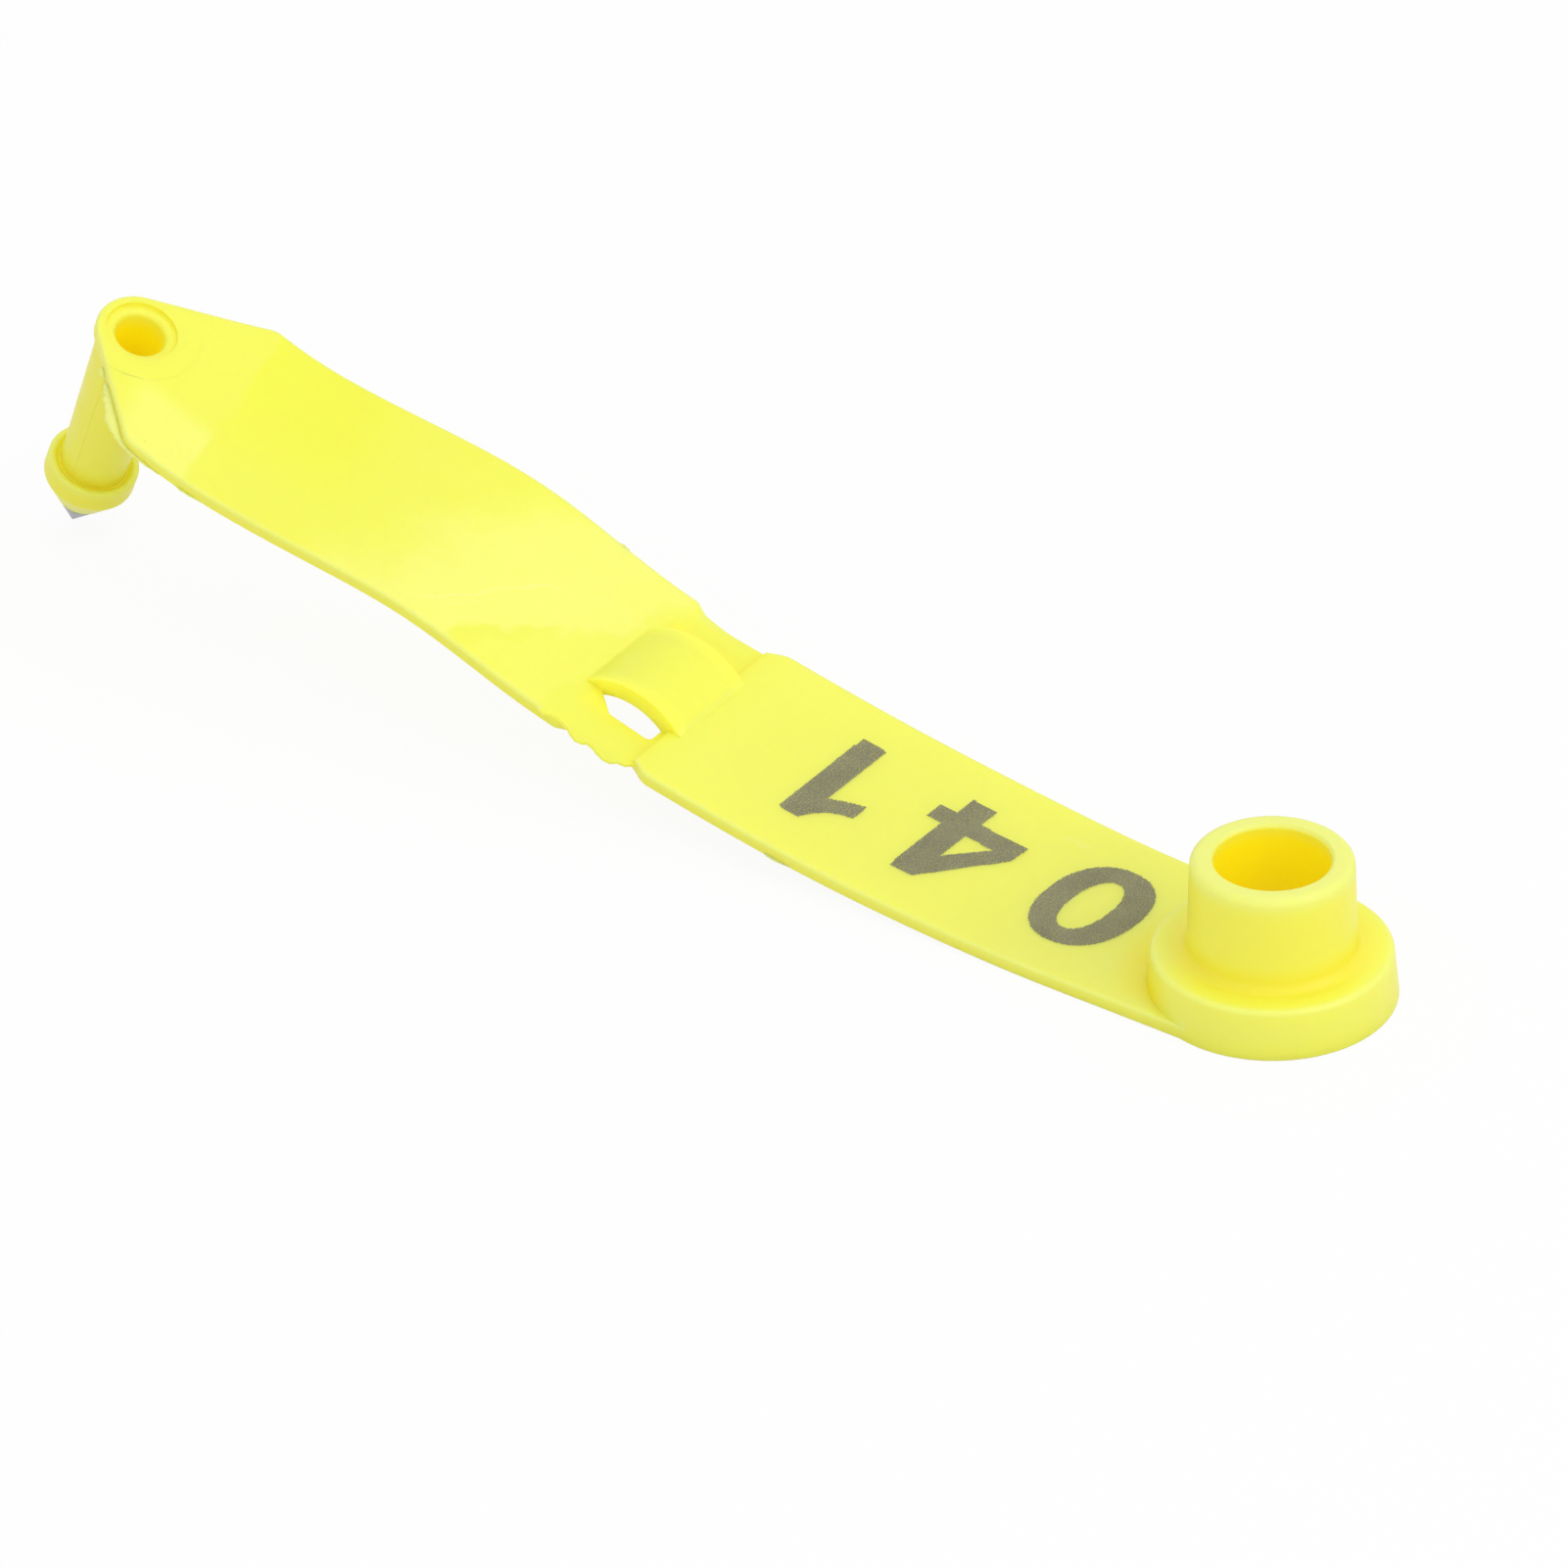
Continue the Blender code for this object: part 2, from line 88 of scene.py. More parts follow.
class NodeWeb:
    """A node tree under construction, with short calls for its nodes and links."""

    def __init__(self, tree: bpy.types.NodeTree) -> None:
        """Starts on an empty or a fresh tree."""
        self.tree = tree

    def add(self, kind: str, inputs: dict[str | int, Any] | None = None, **settings: Any) -> bpy.types.Node:
        """Adds a node.

        Args:
            kind: The node's type name.
            inputs: What each input gets, a value or the output socket that feeds it.
            settings: The node's own options.

        Returns:
            The new node.
        """
        node = self.tree.nodes.new(kind)
        for option, value in settings.items():
            setattr(node, option, value)
        for key, value in (inputs or {}).items():
            self.feed(port(node.inputs, key), value)
        return node

    def feed(self, target: bpy.types.NodeSocket, value: Any) -> None:
        """Links a socket to an input, or writes a plain value on it."""
        if isinstance(value, bpy.types.NodeSocket):
            self.tree.links.new(value, target)
        else:
            target.default_value = value

    def maths(self, operation: str, *values: Any) -> bpy.types.NodeSocket:
        """The result of a Math node on the given numbers or sockets."""
        return self.add("ShaderNodeMath", dict(enumerate(values)), operation=operation).outputs[0]

    def vectors(self, operation: str, *values: Any, out: int = 0) -> bpy.types.NodeSocket:
        """The result of a Vector Math node on the given vectors or sockets."""
        node = self.add("ShaderNodeVectorMath", dict(enumerate(values)), operation=operation)
        return node.outputs[out]

    def scaled(self, vector: Any, factor: Any) -> bpy.types.NodeSocket:
        """A vector times a number."""
        node = self.add("ShaderNodeVectorMath", {0: vector, "Scale": factor}, operation="SCALE")
        return node.outputs[0]

    def parts(self, vector: Any) -> list[bpy.types.NodeSocket]:
        """The three numbers of a vector."""
        return list(self.add("ShaderNodeSeparateXYZ", {0: vector}).outputs)

    def ramp(self, value: Any, low: Any, high: Any, start: float = 0.0, end: float = 1.0,
             smooth: bool = True) -> bpy.types.NodeSocket:
        """A value taken from the range low to high on to start to end, and held there."""
        node = self.add("ShaderNodeMapRange", {"Value": value, "From Min": low, "From Max": high,
                                               "To Min": start, "To Max": end},
                        interpolation_type="SMOOTHSTEP" if smooth else "LINEAR")
        return node.outputs[0]

    def blend(self, factor: Any, one: Any, two: Any) -> bpy.types.NodeSocket:
        """Two colours mixed by a factor."""
        node = self.add("ShaderNodeMix", {"Factor": factor, "A": one, "B": two}, data_type="RGBA")
        return port(node.outputs, "Result")

    def noise(self, coordinates: Any, scale: float, detail: float = 2.0) -> bpy.types.NodeSocket:
        """A noise value on the given coordinates, with its scale in cells to their unit."""
        node = self.add("ShaderNodeTexNoise", {"Vector": coordinates, "Scale": scale, "Detail": detail})
        return port(node.outputs, "Fac" if "Fac" in node.outputs else "Factor")


def shader_tree(name: str) -> tuple[bpy.types.Material, NodeWeb, bpy.types.Node]:
    """Starts a material.

    Args:
        name: The material's name.

    Returns:
        The material, its node web and its Principled node.
    """
    made = bpy.data.materials.new(name)
    made.use_nodes = True
    return made, NodeWeb(made.node_tree), made.node_tree.nodes["Principled BSDF"]


def geometry_tree(name: str, sizes: dict[str, str]) -> tuple[NodeWeb, dict[str, bpy.types.NodeSocket]]:
    """Starts a Geometry Nodes tree with a Geometry input and output.

    Args:
        name: The tree's name.
        sizes: The type of each further input, by its name.

    Returns:
        The node web, and the input sockets by name.
    """
    tree = bpy.data.node_groups.new(name, "GeometryNodeTree")
    tree.is_modifier = True
    tree.interface.new_socket("Geometry", in_out="INPUT", socket_type="NodeSocketGeometry")
    for title, kind in sizes.items():
        tree.interface.new_socket(title, in_out="INPUT", socket_type=kind)
    tree.interface.new_socket("Geometry", in_out="OUTPUT", socket_type="NodeSocketGeometry")
    entry = tree.nodes.new("NodeGroupInput")
    return NodeWeb(tree), {socket.name: socket for socket in entry.outputs if socket.name}


def close_tree(web: NodeWeb, geometry: bpy.types.NodeSocket, material: bpy.types.NodeSocket) -> None:
    """Ends a Geometry Nodes tree in Realize Instances and Set Material."""
    real = web.add("GeometryNodeRealizeInstances", {"Geometry": geometry})
    dressed = web.add("GeometryNodeSetMaterial", {"Geometry": real.outputs[0], "Material": material})
    web.tree.nodes.new("NodeGroupOutput")
    leave = next(node for node in web.tree.nodes if node.type == "GROUP_OUTPUT")
    web.feed(leave.inputs[0], dressed.outputs[0])


def grown(target: bpy.types.Object, web: NodeWeb, values: dict[str, Any]) -> bpy.types.Object:
    """Runs a Geometry Nodes tree on an object and keeps the result as its plain mesh.

    Args:
        target: The object that the tree starts from.
        web: The tree's node web.
        values: The modifier's inputs by name.

    Returns:
        The same object with the finished mesh and no modifier.
    """
    modifier = target.modifiers.new(web.tree.name, "NODES")
    modifier.node_group = web.tree
    for item in web.tree.interface.items_tree:
        if item.in_out == "INPUT" and item.name in values:
            modifier[item.identifier] = values[item.name]
    return plain(target)


def plain(target: bpy.types.Object) -> bpy.types.Object:
    """Turns an object's modifiers into its plain mesh."""
    target.update_tag()
    bpy.context.view_layer.update()
    graph = bpy.context.evaluated_depsgraph_get()
    mesh = bpy.data.meshes.new_from_object(target.evaluated_get(graph), depsgraph=graph,
                                           preserve_all_data_layers=True)
    target.modifiers.clear()
    target.data = mesh
    mesh.name = target.name
    return target


# Solids

def rounded(corners: Sequence[Corner], closed: bool = True, step: float = 11.25) -> list[Vector]:
    """Turns the corners of an outline into arcs.

    Args:
        corners: Each corner as (x, y, radius).
        closed: Whether the outline closes on itself.
        step: The most that one segment of an arc turns.

    Returns:
        The points of the outline.
    """
    count = len(corners)
    points: list[Vector] = []
    for index, (x, y, radius) in enumerate(corners):
        corner = Vector((x, y))
        if radius <= 0 or (not closed and index in (0, count - 1)):
            points.append(corner)
            continue
        before = Vector(corners[index - 1][:2]) - corner
        after = Vector(corners[(index + 1) % count][:2]) - corner
        half = before.angle(after) / 2
        reach = min(radius / math.tan(half), before.length / 2, after.length / 2)
        start = corner + before.normalized() * reach
        end = corner + after.normalized() * reach
        middle = (before.normalized() + after.normalized()).normalized()
        centre = corner + middle * (reach / math.cos(half))
        turn = (start - centre).angle_signed(end - centre)
        steps = max(2, round(abs(math.degrees(turn)) / step))
        arm = start - centre
        points += [centre + Matrix.Rotation(-turn * part / steps, 2) @ arm for part in range(steps + 1)]
    return points


def arc_over(start: Vector, end: Vector, crown: float, count: int) -> list[Vector]:
    """Points of an arc that rises over its chord.

    Args:
        start: The (x, z) point where the arc begins.
        end: The (x, z) point where it ends.
        crown: Its height above the middle of the chord.
        count: How many points it has.

    Returns:
        The points from start to end.
    """
    chord = end - start
    across = Vector((-chord.y, chord.x)).normalized()
    if across.y < 0:
        across.negate()
    radius = (chord.length ** 2 / 4 + crown ** 2) / (2 * crown)
    centre = (start + end) / 2 + across * (crown - radius)
    half = math.asin(chord.length / 2 / radius)
    turn = math.copysign(half, chord.x)
    return [centre + Matrix.Rotation(turn - 2 * turn * i / (count - 1), 2) @ (across * radius)
            for i in range(count)]


def new_object(name: str, builder: bmesh.types.BMesh) -> bpy.types.Object:
    """An object in the scene with the mesh of a finished bmesh."""
    mesh = bpy.data.meshes.new(name)
    builder.to_mesh(mesh)
    builder.free()
    made = bpy.data.objects.new(name, mesh)
    bpy.context.scene.collection.objects.link(made)
    return made


def extruded(name: str, points: Sequence[Vector], plane: str, low: float, high: float) -> bpy.types.Object:
    """A prism on an outline.

    Args:
        name: The object's name.
        points: The outline in the XY, XZ or YZ plane.
        plane: XY, XZ or YZ.
        low: Where the prism starts on the third axis.
        high: Where it ends.

    Returns:
        The closed solid.
    """
    builder = bmesh.new()
    axes = ["XYZ".index(letter) for letter in plane]
    third = 3 - sum(axes)
    ring = []
    for point in points:
        place = Vector((low, low, low))
        place[axes[0]], place[axes[1]] = point
        ring.append(builder.verts.new(place))
    move = Vector((0, 0, 0))
    move[third] = high - low
    face = builder.faces.new(ring)
    raised = bmesh.ops.extrude_face_region(builder, geom=[face])
    moved = [item for item in raised["geom"] if isinstance(item, bmesh.types.BMVert)]
    bmesh.ops.translate(builder, vec=move, verts=moved)
    bmesh.ops.recalc_face_normals(builder, faces=builder.faces)
    return new_object(name, builder)


def spun(name: str, profile: Sequence[Vector], x: float, segments: int) -> bpy.types.Object:
    """A solid of revolution about an upright axis.

    Args:
        name: The object's name.
        profile: Its (radius, height) points, from the axis to the axis.
        x: Where the axis stands.
        segments: How many segments go round.

    Returns:
        The closed solid.
    """
    builder = bmesh.new()
    verts = [builder.verts.new((p.x, 0, p.y)) for p in profile]
    edges = [builder.edges.new(pair) for pair in zip(verts, verts[1:])]
    bmesh.ops.spin(builder, geom=verts + edges, cent=(0, 0, 0), axis=(0, 0, 1), angle=math.tau,
                   steps=segments, use_merge=True)
    bmesh.ops.remove_doubles(builder, verts=builder.verts, dist=MERGE_DISTANCE)
    bmesh.ops.recalc_face_normals(builder, faces=builder.faces)
    bmesh.ops.translate(builder, vec=(x, 0, 0), verts=builder.verts)
    return new_object(name, builder)


def combined(base: bpy.types.Object, other: bpy.types.Object, operation: str) -> bpy.types.Object:
    """Joins the other solid to the base, or cuts it out of it, and removes it."""
    modifier = base.modifiers.new(operation.title(), "BOOLEAN")
    modifier.operation = operation
    modifier.object = other
    modifier.solver = "EXACT"
    plain(base)
    bpy.data.objects.remove(other)
    return base


def edge_bevel(target: bpy.types.Object, width: float, chosen: Callable[[bmesh.types.BMEdge], bool],
               segments: int = 4) -> None:
    """Rounds some edges of a mesh.

    Args:
        target: The object whose mesh is rounded.
        width: How far the round reaches from the edge.
        chosen: Says whether an edge is rounded.
        segments: How many segments the round has.
    """
    builder = bmesh.new()
    builder.from_mesh(target.data)
    edges = [edge for edge in builder.edges if chosen(edge)]
    bmesh.ops.bevel(builder, geom=edges, offset=width, offset_type="OFFSET", segments=segments, profile=0.5,
                    affect="EDGES", clamp_overlap=True)
    builder.to_mesh(target.data)
    builder.free()


def eased(share: float) -> float:
    """A share held between zero and one, with soft ends."""
    held = min(max(share, 0.0), 1.0)
    return held * held * (3 - 2 * held)


# The lie of the strap

@dataclass
class StrapLie:
    """The curve that the strap's top face follows while the tag rests on its socket and its steel point."""

    span: float = 0.1122
    thickness: float = 0.0012
    flange_radius: float = 0.0097
    spade_radius: float = 0.0037
    point_end: float = 0.0243
    slopes: tuple[float, ...] = (0.0, 3.5, 5.9, 10.3, 14.1, 23.3, 10.4, 10.7, 24.8)
    twists: tuple[float, ...] = (0.0, 3.1, 3.8, 6.8, 4.4)
    sweeps: tuple[float, ...] = (0.0, -1.0, 1.4, 2.2, -0.8)
    steps: int = 240
    lead: float = 0.0150
    level_limit: float = 20.0
    level_rounds: int = 40
    level: float = 0.0
    places: list[Vector] = field(default_factory=list)
    shift: Vector = field(default_factory=lambda: Vector((0, 0, 0)))

    @staticmethod
    def value_along(values: Sequence[float], share: float) -> float:
        """Reads a smooth curve through equally spaced values.

        Args:
            values: The values that the curve passes through.
            share: The share of the curve's length, held between zero and one.

        Returns:
            The value there.
        """
        last = len(values) - 1
        place = min(max(share, 0.0), 1.0) * last
        index = min(int(place), last - 1)
        part = place - index
        one, two = values[index], values[index + 1]
        leave = (two - values[max(index - 1, 0)]) / 2
        arrive = (values[min(index + 2, last)] - one) / 2
        return ((2 * part ** 3 - 3 * part ** 2 + 1) * one + (part ** 3 - 2 * part ** 2 + part) * leave
                + (3 * part ** 2 - 2 * part ** 3) * two + (part ** 3 - part ** 2) * arrive)

    def turn(self, along: float) -> Matrix:
        """The strap's rotation at a distance along it from the socket's axis."""
        free = self.span - self.spade_radius - self.flange_radius
        share = (along - self.flange_radius) / free
        raised = (self.slopes[0],) + tuple(slope + self.level for slope in self.slopes[1:])
        slope = math.radians(self.value_along(raised, share))
        twist = math.radians(self.value_along(self.twists, share))
        sweep = math.radians(self.value_along(self.sweeps, share))
        swept = Matrix.Rotation(sweep, 3, "Z") @ Matrix.Rotation(slope, 3, "Y")
        return swept @ Matrix.Rotation(twist, 3, "X")

    def walk(self) -> None:
        """Steps along the strap and keeps the place of each station."""
        step = self.span / self.steps
        self.places = [Vector((0, 0, self.thickness))]
        for index in range(self.steps):
            way = self.turn((index + 0.5) * step) @ Vector((-step, 0, 0))
            self.places.append(self.places[-1] + way)

    def laid(self, point: Vector) -> Vector:
        """Where a point of the flat model comes to lie."""
        step = self.span / self.steps
        index = min(max(int(-point.x / step), 0), self.steps - 1)
        part = -point.x / step - index
        place = self.places[index] + (self.places[index + 1] - self.places[index]) * part
        return place + self.turn(-point.x) @ Vector((0, point.y, point.z - self.thickness)) + self.shift

    def settle(self, rim: Sequence[Vector]) -> None:
        """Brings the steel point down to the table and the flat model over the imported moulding.

        Args:
            rim: Points of the flat moulding that bound it on every side once it is laid.
        """
        tip = Vector((-self.span, 0, self.thickness - self.point_end))
        low, high = -self.level_limit, self.level_limit
        for _ in range(self.level_rounds):
            self.level = (low + high) / 2
            self.walk()
            if self.laid(tip).z < 0:
                low = self.level
            else:
                high = self.level
        self.level = high
        self.walk()
        bottom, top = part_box("tag_moulding")
        places = [self.laid(point) for point in rim]
        across = [place.y for place in places]
        self.shift = Vector((top.x - max(place.x for place in places),
                             (bottom.y + top.y - (min(across) + max(across))) / 2,
                             bottom.z - min(place.z for place in places)))

    def guide(self) -> bpy.types.Object:
        """The stations as a line of edges, each with the strap's directions across and above.

        Returns:
            The line, which starts one lead before the socket's axis and ends one lead past the stud's.
        """
        step = self.span / self.steps
        first, last = self.turn(0), self.turn(self.span)
        stations = [(self.places[0] + first @ Vector((self.lead, 0, 0)), first)]
        stations += [(place, self.turn(index * step)) for index, place in enumerate(self.places)]
        stations.append((self.places[-1] + last @ Vector((-self.lead, 0, 0)), last))
        mesh = bpy.data.meshes.new("strap_guide")
        mesh.from_pydata([place + self.shift for place, _ in stations],
                         [(index, index + 1) for index in range(len(stations) - 1)], [])
        for title, axis in (("across", Vector((0, 1, 0))), ("above", Vector((0, 0, 1)))):
            layer = mesh.attributes.new(title, "FLOAT_VECTOR", "POINT")
            for index, (_, turned) in enumerate(stations):
                layer.data[index].vector = turned @ axis
        made = bpy.data.objects.new("strap_guide", mesh)
        bpy.context.scene.collection.objects.link(made)
        return made

    def tree(self) -> NodeWeb:
        """The tree that lays a flat piece along the guide and notes its flat coordinates."""
        web, given = geometry_tree("lay_along_strap", {
            "Guide": "NodeSocketObject", "Lead": "NodeSocketFloat", "Thickness": "NodeSocketFloat",
            "Finish": "NodeSocketMaterial"})
        line = web.add("GeometryNodeObjectInfo", {"Object": given["Guide"]}, transform_space="ORIGINAL")
        curve = web.add("GeometryNodeMeshToCurve", {"Mesh": port(line.outputs, "Geometry")}).outputs[0]
        here = web.add("GeometryNodeInputPosition").outputs[0]
        x, y, z = web.parts(here)
        length = web.maths("SUBTRACT", given["Lead"], x)
        reads = {}
        for title in ("across", "above"):
            layer = web.add("GeometryNodeInputNamedAttribute", {"Name": title}, data_type="FLOAT_VECTOR")
            reads[title] = web.add("GeometryNodeSampleCurve", {
                "Curves": curve, "Value": port(layer.outputs, "Attribute"), "Length": length},
                data_type="FLOAT_VECTOR", mode="LENGTH")
        lift = web.maths("SUBTRACT", z, given["Thickness"])
        sideways = web.scaled(port(reads["across"].outputs, "Value"), y)
        upwards = web.scaled(port(reads["above"].outputs, "Value"), lift)
        off_line = web.vectors("ADD", sideways, upwards)
        place = web.vectors("ADD", port(reads["across"].outputs, "Position"), off_line)
        noted = web.add("GeometryNodeStoreNamedAttribute", {
            "Geometry": given["Geometry"], "Name": "flat", "Value": here},
            data_type="FLOAT_VECTOR", domain="POINT")
        moved = web.add("GeometryNodeSetPosition", {"Geometry": noted.outputs[0], "Position": place})
        close_tree(web, moved.outputs[0], given["Finish"])
        return web


class Layer:
    """Lays finished flat pieces along the strap and puts them on the tag."""

    def __init__(self, lie: StrapLie) -> None:
        """Builds the guide and the tree once for all pieces."""
        self.lie = lie
        self.guide = lie.guide()
        self.web = lie.tree()

    def lay(self, piece: bpy.types.Object, finish: bpy.types.Material) -> bpy.types.Object:
        """Lays one piece along the strap.

        Args:
            piece: The flat piece.
            finish: Its material.

        Returns:
            The laid piece.
        """
        piece.data.materials.clear()
        grown(piece, self.web, {"Guide": self.guide, "Lead": self.lie.lead, "Thickness": self.lie.thickness,
                                "Finish": finish})
        return piece

    def clear(self) -> None:
        """Removes the guide once nothing needs it."""
        bpy.data.objects.remove(self.guide)


def smooth_shaded(piece: bpy.types.Object) -> None:
    """Shades a piece smooth, keeps its true corners sharp and lets broad faces stay flat."""
    piece.data.shade_smooth()
    piece.data.set_sharp_from_angle(angle=math.radians(SMOOTH_ANGLE))
    modifier = piece.modifiers.new("Weighted", "WEIGHTED_NORMAL")
    modifier.keep_sharp = True
    modifier.weight = LARGE_FACE_WEIGHT
    plain(piece)


# Finishes

@dataclass(frozen=True)
class Tone:
    """How much painted shade and painted highlight a place on the plastic gets, and how much painted glow
    stands in for light coming through.
    """

    # Painted shade, painted highlight and painted glow, in this order.
    deep: float = 0.0
    pale: float = 0.0
    glow: float = 0.0

    def __or__(self, other: "Tone") -> "Tone":
        """The stronger of two tones in each respect."""
        return Tone(max(self.deep, other.deep), max(self.pale, other.pale), max(self.glow, other.glow))


@dataclass(frozen=True)
class Fade:
    """A tone that is strongest in one place and is gone at a reach from it, in metres."""

    peak: float
    reach: float

    def at(self, gap: float) -> float:
        """The tone at a distance from its strongest place."""
        return self.peak * eased(1 - gap / self.reach)


@dataclass(frozen=True)
class PaintedLightZone:
    """A stretch of the strap with painted light or shade from its bends, in millimetres along and across it.
    """

    along: tuple[float, float]
    across: tuple[float, float]
    colour: Colour
    share: float
    soft: tuple[float, float, float] = (1.2, 1.2, 2.5)
    ragged: float = 1.5
    slant: float = 0.0
    height: float = 0.9


@dataclass(frozen=True)
class Streak:
    """A faint pale streak between two flat places, in millimetres."""

    start: tuple[float, float]
    end: tuple[float, float]
    width: float
    share: float


@dataclass(frozen=True)
class Speck:
    """A dark grain caught in the plastic, at a flat place in millimetres."""

    place: tuple[float, float, float]
    radius: float
    share: float = 0.8


@dataclass(frozen=True)
class MouldedPlastic:
    """Satin yellow polyurethane, a little translucent, with painted shade in its hollows, painted highlights
    on its edges and a painted glow.
    """

    name: str = "moulded_plastic"
    # face is the colour of faces turned up; side is a painted-shade copy for faces that turn away.
    face: Colour = (0.900, 0.905, 0.085)
    side: Colour = (0.900, 0.868, 0.085)
    # hollow is painted shade for bores, roots, creases and round the window.
    hollow: Colour = (0.985, 0.830, 0.008)
    # rim is a painted highlight for rounded edges, crests and walls.
    rim: Colour = (0.840, 0.895, 0.215)
    # stretched is the colour of the faint pale streaks below.
    stretched: Colour = (0.985, 0.990, 0.400)
    dark_mark: Colour = (0.330, 0.330, 0.060)
    roughness: float = 0.40
    subsurface: float = 0.60
    radius: Colour = (1.0, 0.8, 0.12)
    reach: float = 0.0022
    # Painted light and shade from the strap's bends: a deeper band before the spade, pale bands past the
    # fold, a painted highlight on the spade's near side, a greyer and a paler stretch on the socket half, and
    # painted shade on the arch's stud side.
    painted_light_zones: tuple[PaintedLightZone, ...] = (
        PaintedLightZone((90.0, 102.2), (-2.0, 14.0), (0.895, 0.905, 0.040), 0.85, (5.0, 0.5, 6.0), 1.4, 0.27),
        PaintedLightZone((67.6, 80.0), (-14.0, 14.0), (0.985, 0.985, 0.235), 0.62, (0.7, 5.0, 1.0), 5.0, -0.55),
        PaintedLightZone((63.2, 68.0), (-14.0, 14.0), (0.960, 0.965, 0.150), 0.45, (0.9, 1.0, 1.0), 4.0, -0.20),
        PaintedLightZone((102.4, 109.6), (-14.0, -3.4), (0.985, 0.985, 0.225), 0.58, (0.4, 1.6, 1.1), 0.5, 0.30),
        PaintedLightZone((5.0, 24.0), (-12.0, 12.0), (0.845, 0.862, 0.135), 0.65, (1.0, 6.0, 1.0), 1.0),
        PaintedLightZone((24.0, 54.0), (-12.0, 12.0), (0.950, 0.960, 0.125), 0.60, (6.0, 3.0, 1.0), 1.0),
        PaintedLightZone((59.5, 64.0), (-12.0, 12.0), (0.830, 0.875, 0.085), 0.60, (2.6, 1.0, 1.0), 0.5, 0.0, 1.35),
    )
    # Faint pale streaks past the fold, and a painted glint beside the nought.
    streaks: tuple[Streak, ...] = (
        Streak((78.2, -8.3), (72.6, -0.4), 0.16, 0.40), Streak((76.9, -8.2), (73.2, -2.6), 0.12, 0.30),
        Streak((73.9, -1.9), (70.0, 1.9), 0.20, 0.35), Streak((24.9, 5.4), (21.2, 6.6), 0.35, 0.25),
    )
    specks: tuple[Speck, ...] = (
        Speck((111.55, -2.78, -7.6), 0.13), Speck((69.9, 9.25, 1.1), 0.22, 0.5),
        Speck((70.6, 9.30, 0.9), 0.16, 0.5), Speck((34.0, 8.1, 1.2), 0.07, 0.35),
        Speck((104.4, -8.2, 1.2), 0.07, 0.4), Speck((61.4, -6.8, 1.1), 0.07, 0.35),
    )
    stud: float = 112.2
    witness: float = 4.85

    def zone_share(self, web: NodeWeb, zone: PaintedLightZone, along: Any, across: Any,
                   ragged: Any) -> bpy.types.NodeSocket:
        """How much of a zone's painted light or shade shows at a place.

        Args:
            web: The material's node web.
            zone: The zone.
            along: The place along the strap, in millimetres.
            across: The place across it.
            ragged: A noise that breaks up the zone's ends.

        Returns:
            The share as a socket.
        """
        shaken = web.maths("MULTIPLY_ADD", ragged, zone.ragged, web.maths(
            "MULTIPLY_ADD", across, -zone.slant, along))
        soft_start, soft_end, soft_across = zone.soft
        enter = web.ramp(shaken, zone.along[0] - soft_start, zone.along[0] + soft_start, 0.0, zone.share)
        leave = web.ramp(shaken, zone.along[1] - soft_end, zone.along[1] + soft_end, 1.0, 0.0)
        low = web.ramp(across, zone.across[0] - soft_across, zone.across[0] + soft_across)
        high = web.ramp(across, zone.across[1] - soft_across, zone.across[1] + soft_across, 1.0, 0.0)
        return web.maths("MULTIPLY", web.maths("MULTIPLY", enter, leave), web.maths("MULTIPLY", low, high))

    def streak_share(self, web: NodeWeb, streak: Streak, place: Any, ragged: Any) -> bpy.types.NodeSocket:
        """How much of a pale streak shows at a place.

        Args:
            web: The material's node web.
            streak: The mark.
            place: The flat place in millimetres.
            ragged: A noise that makes the mark wavy.

        Returns:
            The share as a socket.
        """
        way = Vector(streak.end) - Vector(streak.start)
        arm = web.vectors("ADD", place, (-streak.start[0], -streak.start[1], 0.0))
        forwards = (way.x / way.length_squared, way.y / way.length_squared, 0.0)
        sideways = (-way.y / way.length, way.x / way.length, 0.0)
        part = web.vectors("DOT_PRODUCT", arm, forwards, out=1)
        side = web.vectors("DOT_PRODUCT", arm, sideways, out=1)
        off = web.maths("ABSOLUTE", web.maths("MULTIPLY_ADD", ragged, 1.5, side))
        body = web.ramp(off, 0.0, streak.width, streak.share, 0.0)
        ends = web.maths("MULTIPLY", web.ramp(part, 0.0, 0.3), web.ramp(part, 0.7, 1.0, 1.0, 0.0))
        return web.maths("MULTIPLY", body, ends)

    def witness_share(self, web: NodeWeb, place: Any) -> bpy.types.NodeSocket:
        """How dark the witness line round the stud is drawn, strongest on the side towards the socket half.
        """
        from_stud = web.vectors("ADD", place, (-self.stud, 0.0, 0.0))
        x, y, _ = web.parts(from_stud)
        radius = web.vectors("LENGTH", web.vectors("MULTIPLY", from_stud, (1.0, 1.0, 0.0)), out=1)
        off = web.maths("ABSOLUTE", web.maths("SUBTRACT", radius, self.witness))
        line = web.ramp(off, 0.02, 0.09, 1.0, 0.0)
        side = web.ramp(y, -4.6, -3.2, 0.75, 0.0)
        patch = web.ramp(x, -3.6, -1.0, 1.0, 0.12)
        return web.maths("MULTIPLY", line, web.maths("MULTIPLY", side, patch))

    def material(self) -> bpy.types.Material:
        """The finish as a material on the piece's flat coordinates."""
        made, web, shader = shader_tree(self.name)
        flat = web.add("ShaderNodeAttribute", attribute_name="flat").outputs["Vector"]
        place = web.vectors("MULTIPLY", flat, (-1000.0, 1000.0, 1000.0))
        along, across, height = web.parts(place)
        facing = web.parts(web.add("ShaderNodeTexCoord").outputs["Normal"])[2]
